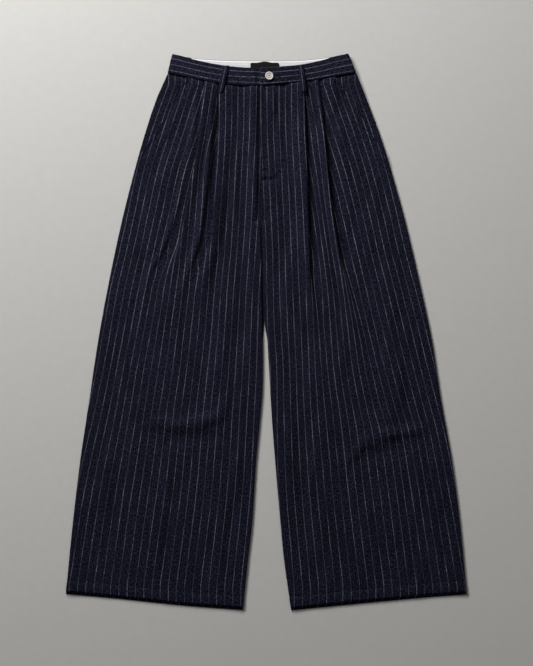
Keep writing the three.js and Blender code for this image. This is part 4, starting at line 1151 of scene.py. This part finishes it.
def band_row(v):
    """One row of the waistband, from its right end round the back to its left end."""
    half = BAND_CLOTH / 2
    right_x, left_x = (
        lerp(BAND_SEAM_FRONT["x"][end] + inward, BAND_TOP_FRONT["x"][end] + inward, v)
        for end, inward in ((0, half), (-1, -half))
    )
    turn = (BAND_FRONT_Z - BAND_BACK_Z) / 2
    front_y = lambda x: lerp(band_seam_front(x), band_top_front(x), v)
    back_y = lambda x: lerp(band_seam_back(x), band_top_back(x), v)
    angles = np.linspace(0, math.pi, BAND_TURN_STEPS + 1)
    row = []
    for x in np.linspace(BAND_UNDERLAP_X, right_x + turn, BAND_STEPS, endpoint=False):
        row.append((x, front_y(x), band_under_z(x)))
    for angle in angles:
        x = right_x + turn * (1 - math.sin(angle))
        row.append((x, front_y(right_x), BAND_BACK_Z + turn * (1 + math.cos(angle))))
    for x in np.linspace(right_x + turn, left_x - turn, BAND_STEPS + 1)[1:-1]:
        row.append((x, back_y(x), BAND_BACK_Z))
    for angle in angles:
        x = left_x - turn * (1 - math.sin(angle))
        row.append((x, front_y(left_x), BAND_BACK_Z + turn * (1 - math.cos(angle))))
    for x in np.linspace(left_x - turn, CENTRE_X, BAND_STEPS + 1)[1:]:
        row.append((x, front_y(x), lerp(BAND_FRONT_Z, BAND_OVERLAP_Z, ramp(x, *OVERLAP_RISE))))
    return row


def walked(path):
    """Length along a path at each of its points."""
    return np.concatenate([[0], np.cumsum(np.linalg.norm(np.diff(path, axis=0), axis=1))])


def make_waistband():
    places = np.array([band_row(1 - r / BAND_ROWS) for r in range(BAND_ROWS + 1)], float)
    length = walked(places[0])
    below = BAND_HEIGHT * np.linspace(0, 1, BAND_ROWS + 1)[:, None]
    number = (below - BAND_FIRST_STRIPE) / BAND_PITCH - BAND_SKEW * length / length[-1]
    return rolled_strip(
        "waistband_cloth", places, grid(number, length), BAND_SHELL, BAND_TWILL,
        "waistband",
    )


def make_lining():
    rows, columns = LINING_STEPS
    x = np.linspace(LINING["from"], LINING["to"], columns)
    down = np.linspace(0, LINING["height"], rows)[:, None]
    places = grid(x, band_top_back(x) - LINING["inset"] - down, LINING_Z)
    return rolled_strip(
        "lining_cloth", places, grid(x, down), LINING_SHELL, WHITE_COTTON,
        "waistband_lining",
    )


def make_label():
    rows, columns = LABEL_STEPS
    t = np.linspace(-0.5, 0.5, columns)
    x = LABEL["x"] + t * LABEL["width"]
    edge = band_top_back(x)
    hump = ridge(t, *LABEL["hump"])
    past = np.clip((np.abs(t) - 0.5) / LABEL["corner_width"] + 1, 0, 1)
    top = edge - LABEL["below"] + hump - LABEL["corner"] * past ** 2
    y = lerp(top, edge - LABEL["height"], np.linspace(0, 1, rows)[:, None])
    return rolled_strip(
        "label_satin", grid(x, y, LABEL_Z), grid(x, y), LINING_SHELL, BLACK_SATIN,
        "label",
    )


def surface_of(*pieces):
    """What a thread or a loop lies on: the meshes of these pieces, to drop points onto."""
    points = []
    faces = []
    for piece in pieces:
        first = len(points)
        points += [v.co.copy() for v in piece.data.vertices]
        faces += [[first + i for i in p.vertices] for p in piece.data.polygons]
    return BVHTree.FromPolygons(points, faces)


def drop(surface, x, y):
    """Height of the top of the cloth at a place, all in millimetres."""
    hit = surface.ray_cast(Vector((x * MM, y * MM, DROP_HEIGHT)), Vector((0, 0, -1)))[0]
    return hit.z / MM if hit else 0


def make_front_loop(side, surface):
    """A loop that arches over the waistband, held up by what lies under its rows."""
    loop = FRONT_LOOPS[side]
    rows, columns = LOOP_STEPS
    share = np.linspace(0, 1, rows)[:, None]
    across = np.linspace(-0.5, 0.5, columns)
    x = lerp(loop["top"], loop["bottom"], share) + LOOP_WIDTH * across
    y = lerp(loop["top_y"], loop["bottom_y"], share)
    under = [max(drop(surface, place, level) for place in row) for row, level in zip(x, y[:, 0])]
    held = [max(under[max(0, i - LOOP_HOLD):i + LOOP_HOLD + 1]) for i in range(rows)]
    window = 2 * LOOP_HOLD + 1
    padded = np.pad(held, LOOP_HOLD, mode="edge")
    smooth = np.convolve(padded, np.full(window, 1 / window), mode="valid")[:, None]
    arch = LOOP_ARCH * np.sin(math.pi * share) ** 2
    z = smooth + LOOP_CLEAR + LOOP_SHELL / 2 + arch - LOOP_BEND * (2 * across) ** 4
    cloth = grid((LOOP_WIDTH * across + LOOP_FIRST_STRIPE) / BAND_PITCH, LOOP_CUT * share)
    return rolled_strip(
        f"loop_front_{side}", grid(x, y, z), cloth, LOOP_SHELL, BAND_TWILL,
        f"belt_loop_front_{side}",
    )


def make_back_loop(place, x):
    rows, columns = BACK_LOOP_STEPS
    across = LOOP_WIDTH * np.linspace(-0.5, 0.5, columns)
    down = np.linspace(0, 1, rows)[:, None]
    y = band_top_back(x) - BACK_LOOP_INSET - (BAND_HEIGHT - 2 * BACK_LOOP_INSET) * down
    return rolled_strip(
        f"loop_back_{place}", grid(x + across, y, BACK_LOOP_CLOTH / 2),
        grid(across / BAND_PITCH, y), BACK_LOOP_SHELL, BAND_TWILL,
        f"belt_loop_back_{place}",
    )


def tube_faces(first, rings, sides):
    """Faces between rings of points, each ring joined to the next."""
    faces = []
    for low in range(first, first + (rings - 1) * sides, sides):
        for i in range(sides):
            j = (i + 1) % sides
            faces.append((low + i, low + j, low + sides + j, low + sides + i))
    return faces


def make_button():
    """The button: a rolled rim, a sunk ring, a flat boss and a dark pin hole, on its shank."""
    top = BAND_OVERLAP_Z + BAND_CLOTH / 2 + SEAM_GAP + BUTTON["height"]
    points = []
    for radius, z in zip(*BUTTON_PROFILE.values()):
        for angle in np.arange(BUTTON_SIDES) * 2 * math.pi / BUTTON_SIDES:
            x = BUTTON["x"] + radius * math.cos(angle)
            y = BUTTON["y"] + radius * math.sin(angle)
            points.append((x * MM, y * MM, (top + z) * MM))
    faces = tube_faces(0, len(BUTTON_PROFILE["z"]), BUTTON_SIDES)
    mesh = mesh_of("button_cap", points, faces)
    work = bmesh.new()
    work.from_mesh(mesh)
    bmesh.ops.remove_doubles(work, verts=work.verts, dist=SAME_PLACE * MM)
    bmesh.ops.recalc_face_normals(work, faces=work.faces)
    work.to_mesh(mesh)
    work.free()
    add_piece("button_cap", mesh, ZINC, "button")


def spindle(points, faces, start, end, radius):
    """One stitch between two points on the cloth: a thread that dips in at both its ends."""
    start = np.array(start)
    end = np.array(end)
    along = end - start
    along /= np.linalg.norm(along)
    aside = np.cross(along, (0, 0, 1))
    aside /= np.linalg.norm(aside)
    up = np.cross(aside, along)
    first = len(points)
    for t, share, lift in STITCH_RINGS:
        centre = lerp(start, end, t) + up * lift
        for i in range(THREAD_SIDES):
            angle = 2 * math.pi * i / THREAD_SIDES
            offset = aside * math.cos(angle) + up * math.sin(angle)
            points.append(tuple((centre + offset * radius * share) * MM))
    faces += tube_faces(first, len(STITCH_RINGS), THREAD_SIDES)
    faces.append(tuple(reversed(range(first, first + THREAD_SIDES))))
    faces.append(tuple(range(len(points) - THREAD_SIDES, len(points))))


def stitch_places(path, length, gap):
    """Starts and ends of the stitches along a path of points."""
    path = np.array(path, float)
    along = walked(path)
    at = gap / 2
    while at + length < along[-1]:
        yield [[np.interp(s, along, path[:, k]) for k in (0, 1)] for s in (at, at + length)]
        at += length + gap


def sew(name, paths, surface, thread, slot, length=STITCH, gap=STITCH_GAP):
    """A row of stitches along each path, dropped onto the cloth."""
    points = []
    faces = []
    for path in paths:
        for start, end in stitch_places(path, length, gap):
            heights = drop(surface, *start), drop(surface, *end)
            if abs(heights[0] - heights[1]) < length:
                spindle(points, faces, (*start, heights[0]), (*end, heights[1]), THREAD_RADIUS)
    add_piece(name, mesh_of(name, points, faces), thread)


def leg_place(side, a, y):
    return CENTRE_X + SIGN[side] * a, y


def hem_path(side):
    ends = FRONT_HEM[side]["a"]
    places = np.linspace(ends[0] + HEM_ROW_INSET[0], ends[-1] - HEM_ROW_INSET[1], HEM_ROW_STEPS)
    return [leg_place(side, a, float(hem_y(side, a)) + HEM_DEPTH) for a in places]


def pocket_path(side):
    top = seam_y(side, POCKET_TOP_A) - POCKET_ROW_ENDS[0]
    levels = np.linspace(top, POCKET_END[side] + POCKET_ROW_ENDS[1], POCKET_ROW_STEPS)
    return [leg_place(side, float(pocket_mouth(side, y)) - POCKET_ROW_INSET, y) for y in levels]


def bar_tack(x, y, width, height):
    """The zigzag of a bar tack, as a path."""
    strokes = int(width / TACK_STROKE)
    return [
        (x + width * (i / strokes - 0.5), y + height / 2 * (1 if i % 2 else -1))
        for i in range(strokes + 1)
    ]


def buttonhole_path(inset):
    """Round the keyhole: the eye under the button, the slit, and back."""
    radius = BUTTON["eye"] + inset
    eye = [
        (BUTTON["x"] + radius * math.cos(t), BUTTON["y"] + radius * math.sin(t))
        for t in np.linspace(HOLE_OPENING, 2 * math.pi - HOLE_OPENING, HOLE_STEPS)
    ]
    end = BUTTON["slit_end"]
    upper = [(end, BUTTON["y"] + inset), (eye[0][0], BUTTON["y"] + inset)]
    lower = [(eye[-1][0], BUTTON["y"] - inset), (end, BUTTON["y"] - inset)]
    return upper + eye + lower


def band_path(edge, ends, inset):
    return [(x, float(edge(x)) + inset) for x in np.linspace(*ends, BAND_ROW_STEPS)]


def loop_paths(loop):
    """Two rows down a front loop and a bar tack across each of its ends."""
    width = LOOP_WIDTH - 2 * LOOP_TACK_SHORT
    paths = [
        bar_tack(loop["bottom"], loop["bottom_y"] + LOOP_TACK_INSET, width, LOOP_TACK_HEIGHT),
        bar_tack(loop["top"], loop["top_y"] - LOOP_TACK_INSET, width, LOOP_TACK_HEIGHT),
    ]
    for aside in (-LOOP_ROW_ASIDE * LOOP_WIDTH, LOOP_ROW_ASIDE * LOOP_WIDTH):
        paths.append([
            (loop["top"] + aside, loop["top_y"] - LOOP_ROW_INSET),
            (loop["bottom"] + aside, loop["bottom_y"] + LOOP_ROW_INSET),
        ])
    return paths


def make_stitching(pieces):
    panels = [pieces[f"{kind}_{side}"] for kind in ("front", "facing") for side in SIGN]
    cloth = surface_of(*panels)
    on_band = surface_of(pieces["band"])
    for side in SIGN:
        sew(f"hem_stitching_{side}", [hem_path(side)], cloth, GREY_THREAD, "pinstripe_cloth")
        sew(f"pocket_stitching_{side}", [pocket_path(side)], cloth, NAVY_THREAD, "pinstripe_cloth")
    fly = [leg_place("left", a, y) for a, y in FLY_LINE]
    sew("fly_stitching", [fly], cloth, NAVY_THREAD, "pinstripe_cloth")
    tacks = [bar_tack(*leg_place("left", a, y), width, TACK_HEIGHT) for a, y, width in FLY_TACKS]
    sew("fly_tacks", tacks, cloth, NAVY_THREAD, "pinstripe_cloth", *TACK_STITCH)
    hole = [buttonhole_path(inset) for inset in HOLE_ROWS]
    sew("buttonhole_stitching", hole, on_band, NAVY_THREAD, "band_cloth", *HOLE_STITCH)
    edges = [
        band_path(band_top_front, BAND_TOP_ROW, -BAND_ROW_INSET),
        band_path(band_seam_front, BAND_SEAM_ROW, BAND_ROW_INSET),
    ]
    sew("band_stitching", edges, on_band, NAVY_THREAD, "band_cloth")
    end = [(CENTRE_X + BAND_END_INSET, y) for y in BAND_END_ROW]
    sew("band_end_stitching", [end], on_band, NAVY_THREAD, "band_cloth")
    away = LABEL["width"] / 2 + LABEL_ROW_AWAY
    beside = [[(LABEL["x"] + offset, y) for y in LABEL_ROW] for offset in (-away, away)]
    sew("lining_stitching", beside, surface_of(pieces["lining"]), WHITE_THREAD, "white_lining")
    for side, loop in FRONT_LOOPS.items():
        on_loop = surface_of(pieces[f"loop_{side}"])
        sew(f"loop_stitching_{side}", loop_paths(loop), on_loop, NAVY_THREAD, "band_cloth")


def declare_sheets():
    """What each sheet of cloth was cut to, in metres, its area, and what it lies on."""
    sheets = []
    for side in SIGN:
        sheets += [
            (f"front_{side}", (0.43, 1.06), 0.33, [f"back_{side}"]),
            (f"back_{side}", (0.40, 1.06), 0.32, []),
            (f"facing_{side}", (0.06, 0.15), 0.0056, [f"back_{side}"]),
            (f"loop_{side}", (0.011, 0.054), None, ["band"]),
        ]
    sheets += [(f"loop_back_{place}", (0.011, 0.034), None, []) for place in BACK_LOOPS]
    sheets += [
        ("band", (0.038, 0.76), None, []),
        ("lining", (0.27, 0.033), None, ["band"]),
        ("label", (0.056, 0.026), None, ["lining"]),
    ]


def make_trousers():
    pieces = {}
    for side in SIGN:
        for kind in PANELS:
            pieces[f"{kind}_{side}"] = make_panel(kind, side)
    pieces["band"] = make_waistband()
    pieces["lining"] = make_lining()
    pieces["label"] = make_label()
    fronts = [pieces[f"front_{side}"] for side in SIGN]
    under_loops = surface_of(*fronts, pieces["band"])
    for side in SIGN:
        pieces[f"loop_{side}"] = make_front_loop(side, under_loops)
    for place, x in BACK_LOOPS.items():
        pieces[f"loop_back_{place}"] = make_back_loop(place, x)
    make_button()
    make_stitching(pieces)
    declare_sheets()


# The view: straight down, with the frame of a 533 x 666 picture at 1.95 mm a pixel
FRAME_HEIGHT = 666 * 1.95
VIEW_CENTRE = (0.5, -1.2)
CLOTH_TOP = 5
LENS = 70
SENSOR = 36
FARTHEST = 20  # metres
FLOOR_HALF = 6  # metres


def make_camera():
    lens = bpy.data.cameras.new("overhead_camera")
    lens.lens = LENS
    lens.sensor_width = SENSOR
    lens.clip_end = FARTHEST
    camera = placed("overhead_camera", lens)
    height = FRAME_HEIGHT * LENS / SENSOR + CLOTH_TOP
    camera.location = (VIEW_CENTRE[0] * MM, VIEW_CENTRE[1] * MM, height * MM)
    bpy.context.scene.camera = camera


def make_floor():
    corners = [(x * FLOOR_HALF, y * FLOOR_HALF, 0) for x, y in ((-1, -1), (1, -1), (1, 1), (-1, 1))]
    floor = placed("studio_floor", mesh_of("studio_floor", corners, [(0, 1, 2, 3)]))
    floor.data.materials.append(PAPER)


def softbox(name, place, target, size, power):
    light = bpy.data.lights.new(name, "AREA")
    light.shape = "DISK"
    light.size = size
    light.energy = power
    lamp = placed(name, light)
    lamp.location = place
    lamp.rotation_mode = "QUATERNION"
    lamp.rotation_quaternion = (Vector(target) - Vector(place)).to_track_quat("-Z", "Y")


def make_lights():
    softbox("key_softbox", (-2.6, 2.9, 2.0), (0, 0.05, 0), 1.0, 118)
    softbox("waist_softbox", (-0.8, 2.1, 1.1), (0, 0.3, 0), 0.6, 38)
    softbox("fill_softbox", (1.9, -0.6, 2.4), (0, 0, 0), 2.2, 3)
    world = bpy.data.worlds.new("studio_air")
    world.use_nodes = True
    air = world.node_tree.nodes["Background"]
    air.inputs["Color"].default_value = linear("#f2f3f5")
    air.inputs["Strength"].default_value = 0.1
    bpy.context.scene.world = world
    bpy.context.scene.view_settings.view_transform = "Standard"


make_camera()
make_trousers()
make_floor()
make_lights()
